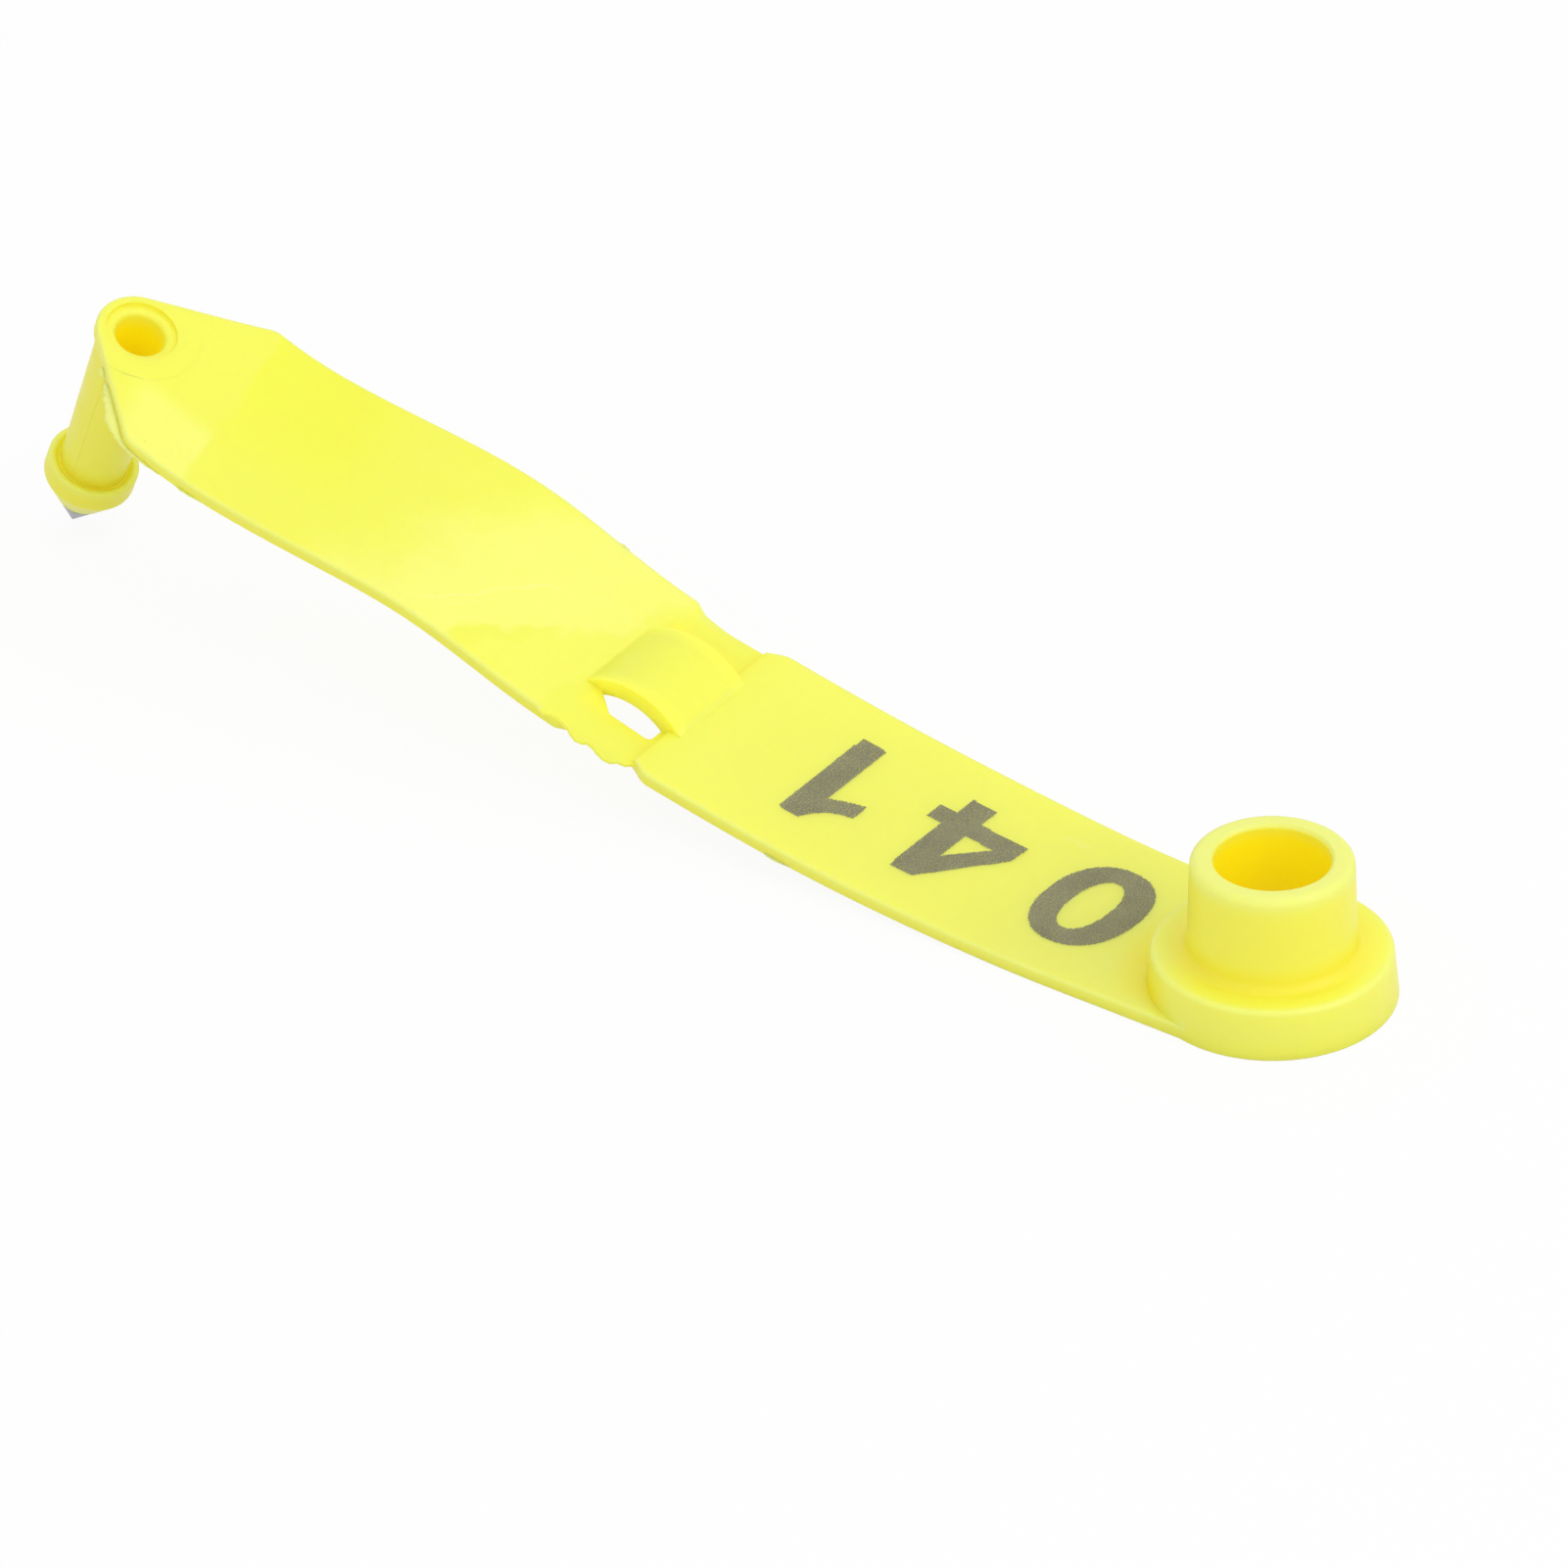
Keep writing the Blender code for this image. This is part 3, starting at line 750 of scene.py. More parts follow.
        # Faces that turn away from the top take the side colour: painted shade.
        upward = web.ramp(facing, 0.1, 0.9)
        cloud = web.noise(flat, 90.0, 3.0)
        colour = web.blend(upward, (*self.side, 1), (*self.face, 1))
        colour = web.blend(web.ramp(cloud, 0.35, 0.75, 0.0, 0.25), colour, (*self.side, 1))
        fine, coarse = (web.maths("SUBTRACT", web.noise(place, scale, 2.0), 0.5) for scale in (0.45, 0.13))
        ragged = web.maths("MULTIPLY_ADD", coarse, 2.0, fine)
        # Painted light and shade of each zone, on faces turned up.
        for zone in self.painted_light_zones:
            share = web.maths("MULTIPLY", self.zone_share(web, zone, along, across, ragged), upward)
            on_top = web.ramp(height, zone.height, zone.height + 0.2)
            colour = web.blend(web.maths("MULTIPLY", share, on_top), colour, (*zone.colour, 1))
        for streak in self.streaks:
            share = web.maths("MULTIPLY", self.streak_share(web, streak, place, ragged), upward)
            colour = web.blend(share, colour, (*self.stretched, 1))
        # Stored painted tones: the highlight mixes in the rim colour and the shade mixes in the hollow
        # colour.
        deep, pale, glow = (web.add("ShaderNodeAttribute", attribute_name=name).outputs["Fac"]
                            for name in ("deep", "pale", "glow"))
        colour = web.blend(pale, colour, (*self.rim, 1))
        colour = web.blend(deep, colour, (*self.hollow, 1))
        dark_mark = self.witness_share(web, place)
        for speck in self.specks:
            gap = web.vectors("DISTANCE", place, speck.place, out=1)
            grain = web.ramp(gap, speck.radius * 0.4, speck.radius, speck.share, 0.0)
            dark_mark = web.maths("MAXIMUM", dark_mark, grain)
        colour = web.blend(dark_mark, colour, (*self.dark_mark, 1))
        web.feed(shader.inputs["Base Color"], colour)
        # Painted glow: the plastic emits its own colour where light would come through it.
        web.feed(shader.inputs["Emission Color"], colour)
        web.feed(shader.inputs["Emission Strength"], glow)
        polish = web.noise(web.vectors("MULTIPLY", flat, (60.0, 400.0, 400.0)), 1.0, 3.0)
        web.feed(shader.inputs["Roughness"], web.ramp(polish, 0.3, 0.7, self.roughness - 0.05,
                                                      self.roughness + 0.06))
        grain = web.noise(flat, 3500.0, 2.0)
        broad = web.noise(flat, 220.0, 2.0)
        bump = web.add("ShaderNodeBump", {"Height": web.maths("MULTIPLY_ADD", broad, 6.0, grain),
                                          "Strength": 0.10, "Distance": 0.00006})
        web.feed(shader.inputs["Normal"], bump.outputs[0])
        shader.inputs["Subsurface Weight"].default_value = self.subsurface
        shader.inputs["Subsurface Radius"].default_value = self.radius
        shader.inputs["Subsurface Scale"].default_value = self.reach
        shader.inputs["IOR"].default_value = 1.49
        made.cycles.emission_sampling = "NONE"
        return made


@dataclass(frozen=True)
class LaserChar:
    """The grey-brown of plastic charred by a marking laser, line by line."""

    name: str = "laser_char"
    dark: Colour = (0.210, 0.200, 0.124)
    light: Colour = (0.325, 0.312, 0.182)
    roughness: float = 0.75
    pitch: float = 0.00018

    def material(self) -> bpy.types.Material:
        """The finish as a material on the piece's flat coordinates."""
        made, web, shader = shader_tree(self.name)
        flat = web.add("ShaderNodeAttribute", attribute_name="flat").outputs["Vector"]
        speck = web.noise(web.vectors("MULTIPLY", flat, (0.5, 1.0, 1.0)), 9000.0, 1.0)
        patch = web.noise(flat, 500.0, 2.0)
        across = web.parts(flat)[1]
        line = web.maths("SINE", web.maths("MULTIPLY", across, math.tau / self.pitch))
        mixed = web.maths("MULTIPLY_ADD", patch, 0.5, web.maths("MULTIPLY_ADD", line, 0.10, speck))
        web.feed(shader.inputs["Base Color"], web.blend(web.ramp(mixed, 0.55, 1.02), (*self.dark, 1),
                                                        (*self.light, 1)))
        bump = web.add("ShaderNodeBump", {"Height": mixed, "Strength": 0.4, "Distance": 0.00003})
        web.feed(shader.inputs["Normal"], bump.outputs[0])
        shader.inputs["Roughness"].default_value = self.roughness
        shader.inputs["Specular IOR Level"].default_value = 0.3
        return made


@dataclass(frozen=True)
class TurnedSteel:
    """Bright turned steel with fine tool rings round its axis."""

    name: str = "turned_steel"
    bright: Colour = (0.28, 0.29, 0.29)
    dull: Colour = (0.19, 0.20, 0.205)
    roughness: float = 0.30
    ring: float = 9000.0

    def material(self) -> bpy.types.Material:
        """The finish as a material on the piece's flat coordinates."""
        made, web, shader = shader_tree(self.name)
        flat = web.add("ShaderNodeAttribute", attribute_name="flat").outputs["Vector"]
        stretched = web.vectors("MULTIPLY", flat, (0.05, 0.05, 1.0))
        rings = web.noise(stretched, self.ring, 2.0)
        stain = web.noise(flat, 900.0, 3.0)
        web.feed(shader.inputs["Base Color"], web.blend(web.ramp(stain, 0.35, 0.7), (*self.bright, 1),
                                                        (*self.dull, 1)))
        web.feed(shader.inputs["Roughness"], web.ramp(rings, 0.3, 0.7, self.roughness - 0.06,
                                                      self.roughness + 0.10))
        bump = web.add("ShaderNodeBump", {"Height": rings, "Strength": 0.25, "Distance": 0.00002})
        web.feed(shader.inputs["Normal"], bump.outputs[0])
        shader.inputs["Metallic"].default_value = 1.0
        return made


@dataclass(frozen=True)
class PaleTable:
    """A white table that the camera sees near white, with the tag's shadow kept."""

    name: str = "pale_table"
    colour: Colour = (0.90, 0.90, 0.90)
    glow: float = 0.92

    def material(self) -> bpy.types.Material:
        """The finish as a material."""
        made, web, shader = shader_tree(self.name)
        shader.inputs["Base Color"].default_value = (*self.colour, 1)
        shader.inputs["Roughness"].default_value = 0.9
        shader.inputs["Specular IOR Level"].default_value = 0.0
        seen = seen_directly(web)
        glow = web.add("ShaderNodeEmission", {"Color": (1, 1, 1, 1), "Strength": 1.0})
        mixed = web.add("ShaderNodeMixShader", {0: web.maths("MULTIPLY", seen, self.glow),
                                                1: shader.outputs[0], 2: glow.outputs[0]})
        leave = next(node for node in made.node_tree.nodes if node.type == "OUTPUT_MATERIAL")
        web.feed(leave.inputs["Surface"], mixed.outputs[0])
        return made


def seen_directly(web: NodeWeb) -> bpy.types.NodeSocket:
    """One for camera, glossy and transmission rays, and zero for the rays that carry light."""
    path = web.add("ShaderNodeLightPath").outputs
    either = web.maths("MAXIMUM", path["Is Camera Ray"], path["Is Glossy Ray"])
    return web.maths("MAXIMUM", either, path["Is Transmission Ray"])


# The moulding

@dataclass
class Strap:
    """The strap's two flat halves, the fold between them and the spade that holds the stud."""

    width: float = 0.0190
    thickness: float = 0.0012
    span: float = 0.1122
    stud_half_inset: float = 0.00015
    socket_half: float = 0.0552
    fold_length: float = 0.0071
    socket_corner: tuple[float, float] = (0.0016, 0.0020)
    stud_corner: tuple[float, float] = (0.0013, 0.0005)
    fold_end_inset: float = 0.0009
    waist_inset: float = 0.0012
    spade_length: float = 0.0067
    spade_inset: float = 0.0003
    spade_round: float = 0.0020
    spade_radius: float = 0.0037
    edge_round: float = 0.00025
    band_width: float = 0.0025
    band_dip: float = 0.00045
    window_ledge: float = 0.0005
    window_rounds: tuple[float, float] = (0.0005, 0.0016)
    window_chamfer: tuple[float, float] = (0.0021, 0.0017)
    step_slope: float = 0.00035
    arch_side_gap: float = 0.0016
    arch_rise: float = 0.00185
    arch_thickness: float = 0.0015
    arch_overlaps: tuple[float, float] = (0.0013, 0.0009)
    arch_round: float = 0.0008
    edge_ring: float = 0.00018
    arch_points: int = 41
    overrun: float = 0.0010
    side_turn: float = 6.0
    end_turn: float = 5.0
    # Painted shade, highlights and glow of the fold: on the arch, round the window and in the step's crease.
    arch_edge_painted_shade: float = 0.10
    arch_edge_painted_glow: float = 0.13
    arch_foot_painted_highlight: Fade = Fade(0.5, 0.0006)
    window_painted_shade: Fade = Fade(0.35, 0.0015)
    window_painted_glow: Fade = Fade(0.05, 0.0004)
    step_painted_shade: Fade = Fade(0.30, 0.0009)
    # Painted shade on the strap's side wall and a painted highlight along its lower edge.
    wall_painted_shade: float = 0.18
    lower_painted_highlight: float = 0.8
    fold_margin: float = 0.0020
    flash_margin: float = 0.0015

    @property
    def half(self) -> float:
        """Half of the strap's width."""
        return self.width / 2

    @property
    def open_half(self) -> float:
        """Half of the window's width."""
        return self.half - self.waist_inset - self.band_width

    @property
    def fold_end(self) -> float:
        """Where the stud half begins, from the socket's axis."""
        return self.socket_half + self.fold_length

    def side(self) -> tuple[list[Corner], float]:
        """The corners of the +Y side, and the angle about the stud at which the round end begins."""
        spade_half = self.half - self.spade_inset
        reach = math.hypot(self.spade_length, spade_half)
        lean = math.atan2(spade_half, self.spade_length) - math.asin(self.spade_radius / reach)
        tangent = math.sqrt(reach ** 2 - self.spade_radius ** 2)
        corner_x = self.spade_length - self.span
        touch = (corner_x - tangent * math.cos(lean), spade_half - tangent * math.sin(lean))
        waist = -(self.socket_half + self.fold_end) / 2
        corners = [
            (0, self.half, 0),
            (self.socket_corner[0] - self.socket_half, self.half, self.socket_corner[1]),
            (-self.socket_half, self.half - self.fold_end_inset, 0),
            (waist, self.half - self.waist_inset, self.fold_length),
            (self.stud_corner[0] - self.fold_end, self.half - self.fold_end_inset, 0),
            (-self.fold_end, self.half - self.stud_half_inset, self.stud_corner[1]),
            (corner_x, spade_half, self.spade_round),
            (touch[0], touch[1], 0),
        ]
        return corners, math.atan2(touch[1], touch[0] + self.span)

    def outline(self) -> list[Vector]:
        """The strap's whole outline, once round."""
        corners, begin = self.side()
        upper = rounded(corners, closed=False, step=self.side_turn)
        sweep = 2 * (math.pi - begin)
        steps = round(math.degrees(sweep) / self.end_turn)
        arms = [begin + sweep * step / steps for step in range(1, steps)]
        end = [Vector((self.spade_radius * math.cos(arm) - self.span, self.spade_radius * math.sin(arm)))
               for arm in arms]
        return upper + end + [Vector((p.x, -p.y)) for p in reversed(upper)]

    def plate(self) -> bpy.types.Object:
        """The flat strap, with its upper edges rounded."""
        made = extruded("ear_tag_moulding", self.outline(), "XY", 0, self.thickness)

        def is_rim(edge: bmesh.types.BMEdge) -> bool:
            """Whether an edge bounds the top or the underside anywhere but at the socket."""
            one, two = edge.verts[0].co, edge.verts[1].co
            return one.z == two.z and min(one.x, two.x) < 0

        edge_bevel(made, self.edge_round, is_rim)
        builder = bmesh.new()
        builder.from_mesh(made.data)
        broad = [face for face in builder.faces if abs(face.normal.z) > 0.99 and len(face.verts) > 12]
        bmesh.ops.inset_region(builder, faces=broad, thickness=self.edge_ring, use_even_offset=True)
        builder.to_mesh(made.data)
        builder.free()
        return made

    def edge_tree(self) -> KDTree:
        """A tree of places along the outline, which tells how far a place is from the strap's edge."""
        points = self.outline()
        dense = []
        for one, two in zip(points, points[1:] + points[:1]):
            count = max(1, math.ceil((two - one).length / self.edge_ring))
            dense += [one.lerp(two, index / count) for index in range(count)]
        tree = KDTree(len(dense))
        for index, point in enumerate(dense):
            tree.insert((point.x, point.y, 0), index)
        tree.balance()
        return tree

    def cutters(self) -> list[bpy.types.Object]:
        """The slope that thins the side bands towards the socket half, and the window between them."""
        wide = self.half + self.overrun
        above = self.thickness + self.overrun
        start = -self.socket_half
        slope = [Vector((start, self.thickness - self.band_dip)),
                 Vector((start + self.step_slope, self.thickness + self.band_dip)),
                 Vector((start + self.step_slope, above)), Vector((-self.fold_end, above)),
                 Vector((-self.fold_end, self.thickness))]
        dip = extruded("dip", slope, "XZ", -wide, wide)
        near, far = start - self.window_ledge, self.window_ledge - self.fold_end
        open_half = self.open_half
        near_round, far_round = self.window_rounds
        chamfer_along, chamfer_across = self.window_chamfer
        corners = [(near, open_half, far_round), (far, open_half, far_round),
                   (far, chamfer_across - open_half, near_round),
                   (far + chamfer_along, -open_half, near_round / 2),
                   (near, -open_half, near_round)]
        window = extruded("window", rounded(corners), "XY", -self.overrun, above)
        return [dip, window]

    def arch(self) -> bpy.types.Object:
        """The arch over the window, with its feet sunk in both halves."""
        first = self.arch_overlaps[0] - self.socket_half
        last = -self.fold_end - self.arch_overlaps[1]
        seat = self.thickness / 2
        over = arc_over(Vector((first, self.thickness)), Vector((last, self.thickness)), self.arch_rise,
                        self.arch_points)
        drop = self.arch_rise - self.arch_thickness + self.thickness - seat
        under = arc_over(Vector((self.window_ledge - self.fold_end, seat)),
                         Vector((-self.socket_half - self.window_ledge, seat)), drop, self.arch_points)
        profile = over + [Vector((last, seat))] + under + [Vector((first, seat))]
        half = self.open_half - self.arch_side_gap
        made = extruded("arch", profile, "XZ", -half, half)

        def is_upper_side(edge: bmesh.types.BMEdge) -> bool:
            """Whether an edge follows the upper curve on one of the arch's two sides."""
            one, two = edge.verts[0].co, edge.verts[1].co
            return abs(one.x - two.x) > 0 and one.y == two.y and min(one.z, two.z) >= self.thickness * 0.99

        edge_bevel(made, self.arch_round, is_upper_side)
        return made

    def fold_tone(self, point: Vector) -> Tone:
        """The painted tone of a flat point of the fold: shade and glow round the window, shade in the crease,
        and shade, highlight and glow on the arch.
        """
        along, wide = -point.x, abs(point.y)
        if point.z > self.thickness * 1.01:
            side = self.open_half - self.arch_side_gap - wide
            foot = abs(along - self.socket_half + self.arch_overlaps[0])
            edge = eased(1 - side / self.arch_round)
            return Tone(self.arch_edge_painted_shade * edge, self.arch_foot_painted_highlight.at(foot), self.arch_edge_painted_glow * edge)
        outside = Vector((max(self.socket_half + self.window_ledge - along,
                              along - self.fold_end + self.window_ledge, 0), max(wide - self.open_half, 0)))
        tone = Tone(self.window_painted_shade.at(outside.length), 0.0, self.window_painted_glow.at(outside.length))
        if wide > self.open_half - self.edge_ring:
            tone |= Tone(self.step_painted_shade.at(abs(along - self.socket_half)))
        return tone

    def tone(self, point: Vector, gap: float) -> Tone:
        """The tone of a flat point.

        Args:
            point: The point.
            gap: How far it is from the strap's outline.

        Returns:
            Painted highlights on the rounded edges, painted shade on the wall between them, and the fold's
            own painted tones.
        """
        if point.z < -MERGE_DISTANCE:
            return Tone()
        tone = Tone()
        if self.socket_half - self.fold_margin < -point.x < self.fold_end + self.fold_margin:
            tone = self.fold_tone(point)
        if point.z < self.thickness + MERGE_DISTANCE and -point.x > 0:
            flashed = point.y < 0 and self.socket_half < -point.x < self.fold_end + self.flash_margin
            rim = 0.0 if flashed else eased(1 - gap / (self.edge_round + self.edge_ring))
            upper = eased((point.z - self.thickness) / (2 * self.edge_round) + 1)
            lower = eased((self.edge_round - point.z) / self.edge_round)
            wall = self.wall_painted_shade * rim * (1 - max(upper, lower))
            tone |= Tone(wall, rim * max(upper, self.lower_painted_highlight * lower))
        return tone


@dataclass
class Socket:
    """The round flange, and the tube that the stud's head snaps into."""

    flange_radius: float = 0.0097
    flange_height: float = 0.0042
    flange_draft: float = 0.0004
    flange_round: float = 0.0006
    foot_round: float = 0.0002
    bore_radius: float = 0.0045
    wall: float = 0.0018
    rise: float = 0.0080
    tube_draft: float = 0.00025
    rim_round: float = 0.0007
    bore_round: float = 0.00025
    root_round: float = 0.0009
    throat_step: float = 0.0012
    throat_height: float = 0.0024
    throat_lead: float = 0.0008
    root_ring: float = 0.0022
    segments: int = 160
    overrun: float = 0.0010
    strap_top: float = 0.0012
    # Painted tones: shade and glow in the bore, highlights on the lip, rim, crest and wall, shade at the root
    # and in the crease.
    bore_depth_fade: float = 0.0012
    bore_painted_glow: float = 0.078
    lip_painted_highlight: Fade = Fade(0.8, 0.0004)
    root_painted_shade: Fade = Fade(0.75, 0.0022)
    rim_painted_highlight: Fade = Fade(0.95, 0.0017)
    crest_painted_highlight: Fade = Fade(0.75, 0.0009)
    wall_painted_highlight: float = 0.30
    crease_painted_shade: Fade = Fade(0.85, 0.0030)
    crease_half: float = 0.97
    crease_end: float = 0.0024

    @property
    def top(self) -> float:
        """How high the tube's rim is."""
        return self.flange_height + self.rise

    def body(self) -> bpy.types.Object:
        """The flange and its tube, solid."""
        radius = self.bore_radius + self.wall
        profile = rounded([
            (0, 0, 0), (self.flange_radius, 0, self.foot_round),
            (self.flange_radius - self.flange_draft, self.flange_height, self.flange_round),
            (radius + self.root_ring, self.flange_height, 0),
            (radius + self.tube_draft, self.flange_height, self.root_round),
            (radius, self.top, self.rim_round), (0, self.top, 0)], closed=False)
        return spun("socket", profile, 0, self.segments)

    def bore(self) -> bpy.types.Object:
        """The hollow of the socket: a chamber above a narrower throat with a flared mouth."""
        throat = self.bore_radius - self.throat_step
        profile = rounded([
            (0, -self.overrun, 0), (throat + self.throat_lead + self.overrun, -self.overrun, 0),
            (throat, self.throat_lead, 0), (throat, self.throat_height, 0.0002),
            (self.bore_radius, self.throat_height, 0.0002),
            (self.bore_radius, self.top - self.bore_round, 0.0004),
            (self.bore_radius + self.bore_round + self.overrun, self.top + self.overrun, 0),
            (0, self.top + self.overrun, 0)], closed=False)
        return spun("socket_bore", profile, 0, self.segments)

    def tone(self, point: Vector) -> Tone:
        """The painted tone of a flat point: shade and glow in the bore, highlights on rims and edges, shade
        at the root and in the crease.
        """
        radius = math.hypot(point.x, point.y)
        if radius < self.bore_radius * 1.01:
            below = self.top - point.z
            inside = eased(below / self.bore_depth_fade)
            return Tone(inside, self.lip_painted_highlight.at(below), self.bore_painted_glow * inside)
        if radius > self.flange_radius * 1.4 or point.z < self.throat_lead:
            return Tone()
        root = math.hypot(radius - self.bore_radius - self.wall, point.z - self.flange_height)
        crest = math.hypot(radius - self.flange_radius + self.flange_draft, point.z - self.flange_height)
        on_wall = point.z < self.flange_height - self.flange_round and radius < self.flange_radius * 1.02
        pale = max(self.rim_painted_highlight.at(self.top - point.z), self.crest_painted_highlight.at(crest), self.wall_painted_highlight * on_wall)
        tone = Tone(self.root_painted_shade.at(root), pale)
        beside = self.flange_radius * self.crease_half - abs(point.y)
        if point.x < 0 < beside:
            crease = math.hypot(radius - self.flange_radius, point.z - self.strap_top)
            shade = self.crease_painted_shade.at(crease) * eased(beside / self.crease_end)
            tone = Tone(max(tone.deep, shade), tone.pale * (1 - shade))
        return tone


@dataclass
class Stud:
    """The hollow tapered shank with its collar and cone."""

    span: float = 0.1122
    thickness: float = 0.0012
    bore_radius: float = 0.00205
    bore_depth: float = 0.0155
    bore_draft: float = 0.0008
    wall: float = 0.00125
    draft: float = 0.0006
    root_round: float = 0.0003
    recess_wall: float = 0.0009
    recess_depth: float = 0.00035
    collar_depth: float = 0.0165
    collar_height: float = 0.0019
    collar_radius: float = 0.00375
    collar_round: float = 0.0005
    rim_width: float = 0.0005
    rim_round: float = 0.00045
    dish_depth: float = 0.0007
    cone_length: float = 0.0026
    cone_tip: float = 0.002125
    lip_round: float = 0.0006
    seam_width: float = 0.00014
    seam_height: float = 0.00005
    seat_radius: float = 0.0007
    seat_depth: float = 0.0035
    segments: int = 96
    overrun: float = 0.0010
    witness_radius: float = 0.00485
    witness_width: float = 0.00007
    witness_depth: float = 0.00002
    # Painted tones: shade and glow in the bore, shade at the foot and the recess, a highlight on the crest.
    bore_depth_fade: float = 0.0016
    bore_painted_glow: float = 0.10
    foot_painted_shade: Fade = Fade(0.55, 0.0016)
    recess_painted_shade: Fade = Fade(0.45, 0.0004)
    crest_painted_highlight: Fade = Fade(0.8, 0.0008)

    @property
    def cone_bottom(self) -> float:
        """How far the cone's end is below the strap's top."""
        return self.collar_depth + self.collar_height + self.cone_length

    def body(self) -> bpy.types.Object:
        """The shank, collar and cone, solid, hanging from inside the strap's end."""
        top, radius = self.thickness, self.bore_radius + self.wall
        profile = rounded([
            (0, top / 2, 0), (radius + self.root_round, top / 2, 0), (radius + self.root_round, 0, 0),
            (radius, -self.root_round, 0.0004),
            (radius - self.draft, top - self.collar_depth - self.dish_depth, 0.0005),
            (self.collar_radius - self.rim_width, top - self.collar_depth, self.rim_round),
            (self.collar_radius, top - self.collar_depth, self.rim_round),
            (self.collar_radius, top - self.collar_depth - self.collar_height, self.collar_round),
            (self.cone_tip, top - self.cone_bottom, 0.0001), (0, top - self.cone_bottom, 0)], closed=False)
        return spun("stud", profile, -self.span, self.segments)

    def bore(self) -> bpy.types.Object:
        """The hollow of the shank, with the shallow recess round its mouth."""
        top, recess = self.thickness, self.bore_radius + self.recess_wall
        profile = rounded([
            (0, top + self.overrun, 0), (recess, top + self.overrun, 0),
            (recess, top - self.recess_depth, 0.0001),
            (self.bore_radius, top - self.recess_depth, self.lip_round),
            (self.bore_radius - self.bore_draft, top - self.bore_depth, self.bore_draft),
            (0, top - self.bore_depth, 0)], closed=False)
        return spun("stud_bore", profile, -self.span, self.segments)

    def seat(self) -> bpy.types.Object:
        """The blind hole in the cone that holds the steel pin."""
        low = self.thickness - self.cone_bottom
        profile = [Vector((0, low - self.overrun)), Vector((self.seat_radius, low - self.overrun)),
                   Vector((self.seat_radius, low + self.seat_depth)), Vector((0, low + self.seat_depth))]
        return spun("seat", profile, -self.span, self.segments)

    def witness(self) -> bpy.types.Object:
        """The ring that cuts the faint witness line of the mould's insert into the strap's top."""
        top = self.thickness
        inner, outer = self.witness_radius - self.witness_width, self.witness_radius + self.witness_width
        builder = bmesh.new()
        rings = []
        for index in range(self.segments):
            angle = math.tau * index / self.segments
            way = Vector((math.cos(angle), math.sin(angle), 0))
            section = ((inner, top + self.witness_depth), (self.witness_radius, top - self.witness_depth),
                       (outer, top + self.witness_depth))
            rings.append([builder.verts.new(way * radius + Vector((-self.span, 0, height)))
                          for radius, height in section])
        for one, two in zip(rings, rings[1:] + rings[:1]):
            for index in range(3):
                after = (index + 1) % 3
                builder.faces.new((one[index], one[after], two[after], two[index]))
        bmesh.ops.recalc_face_normals(builder, faces=builder.faces)
        return new_object("witness", builder)

    def seam(self) -> bpy.types.Object:
        """The fine parting line down both sides of the shank."""
        high, low = -self.root_round, self.thickness - self.collar_depth
        wide = self.bore_radius + self.wall + self.seam_height
        narrow = wide - self.draft
        half = self.seam_width / 2
        corners = [Vector((-wide, high)), Vector((-narrow, low)), Vector((narrow, low)), Vector((wide, high))]
        return extruded("seam", corners, "YZ", -self.span - half, half - self.span)

    def tone(self, point: Vector) -> Tone:
        """The painted tone of a flat point: shade and glow in the bore, shade on the recess's wall and in the
        collar's dish, a highlight on its crest.
        """
        radius = math.hypot(point.x + self.span, point.y)
        if radius < self.bore_radius * 1.005 and point.z > self.thickness - self.bore_depth * 1.01:
            inside = eased((self.thickness - self.recess_depth - point.z) / self.bore_depth_fade)
            return Tone(inside, 0.0, self.bore_painted_glow * inside)
        recess = math.hypot(radius - self.bore_radius - self.recess_wall,
                            point.z - self.thickness + self.recess_depth)
        foot = math.hypot(radius - self.bore_radius - self.wall + self.draft,
                          point.z - self.thickness + self.collar_depth + self.dish_depth)
        crest = math.hypot(radius - self.collar_radius + self.rim_width / 2,
                           point.z - self.thickness + self.collar_depth)
        return Tone(max(self.foot_painted_shade.at(foot), self.recess_painted_shade.at(recess)), self.crest_painted_highlight.at(crest))


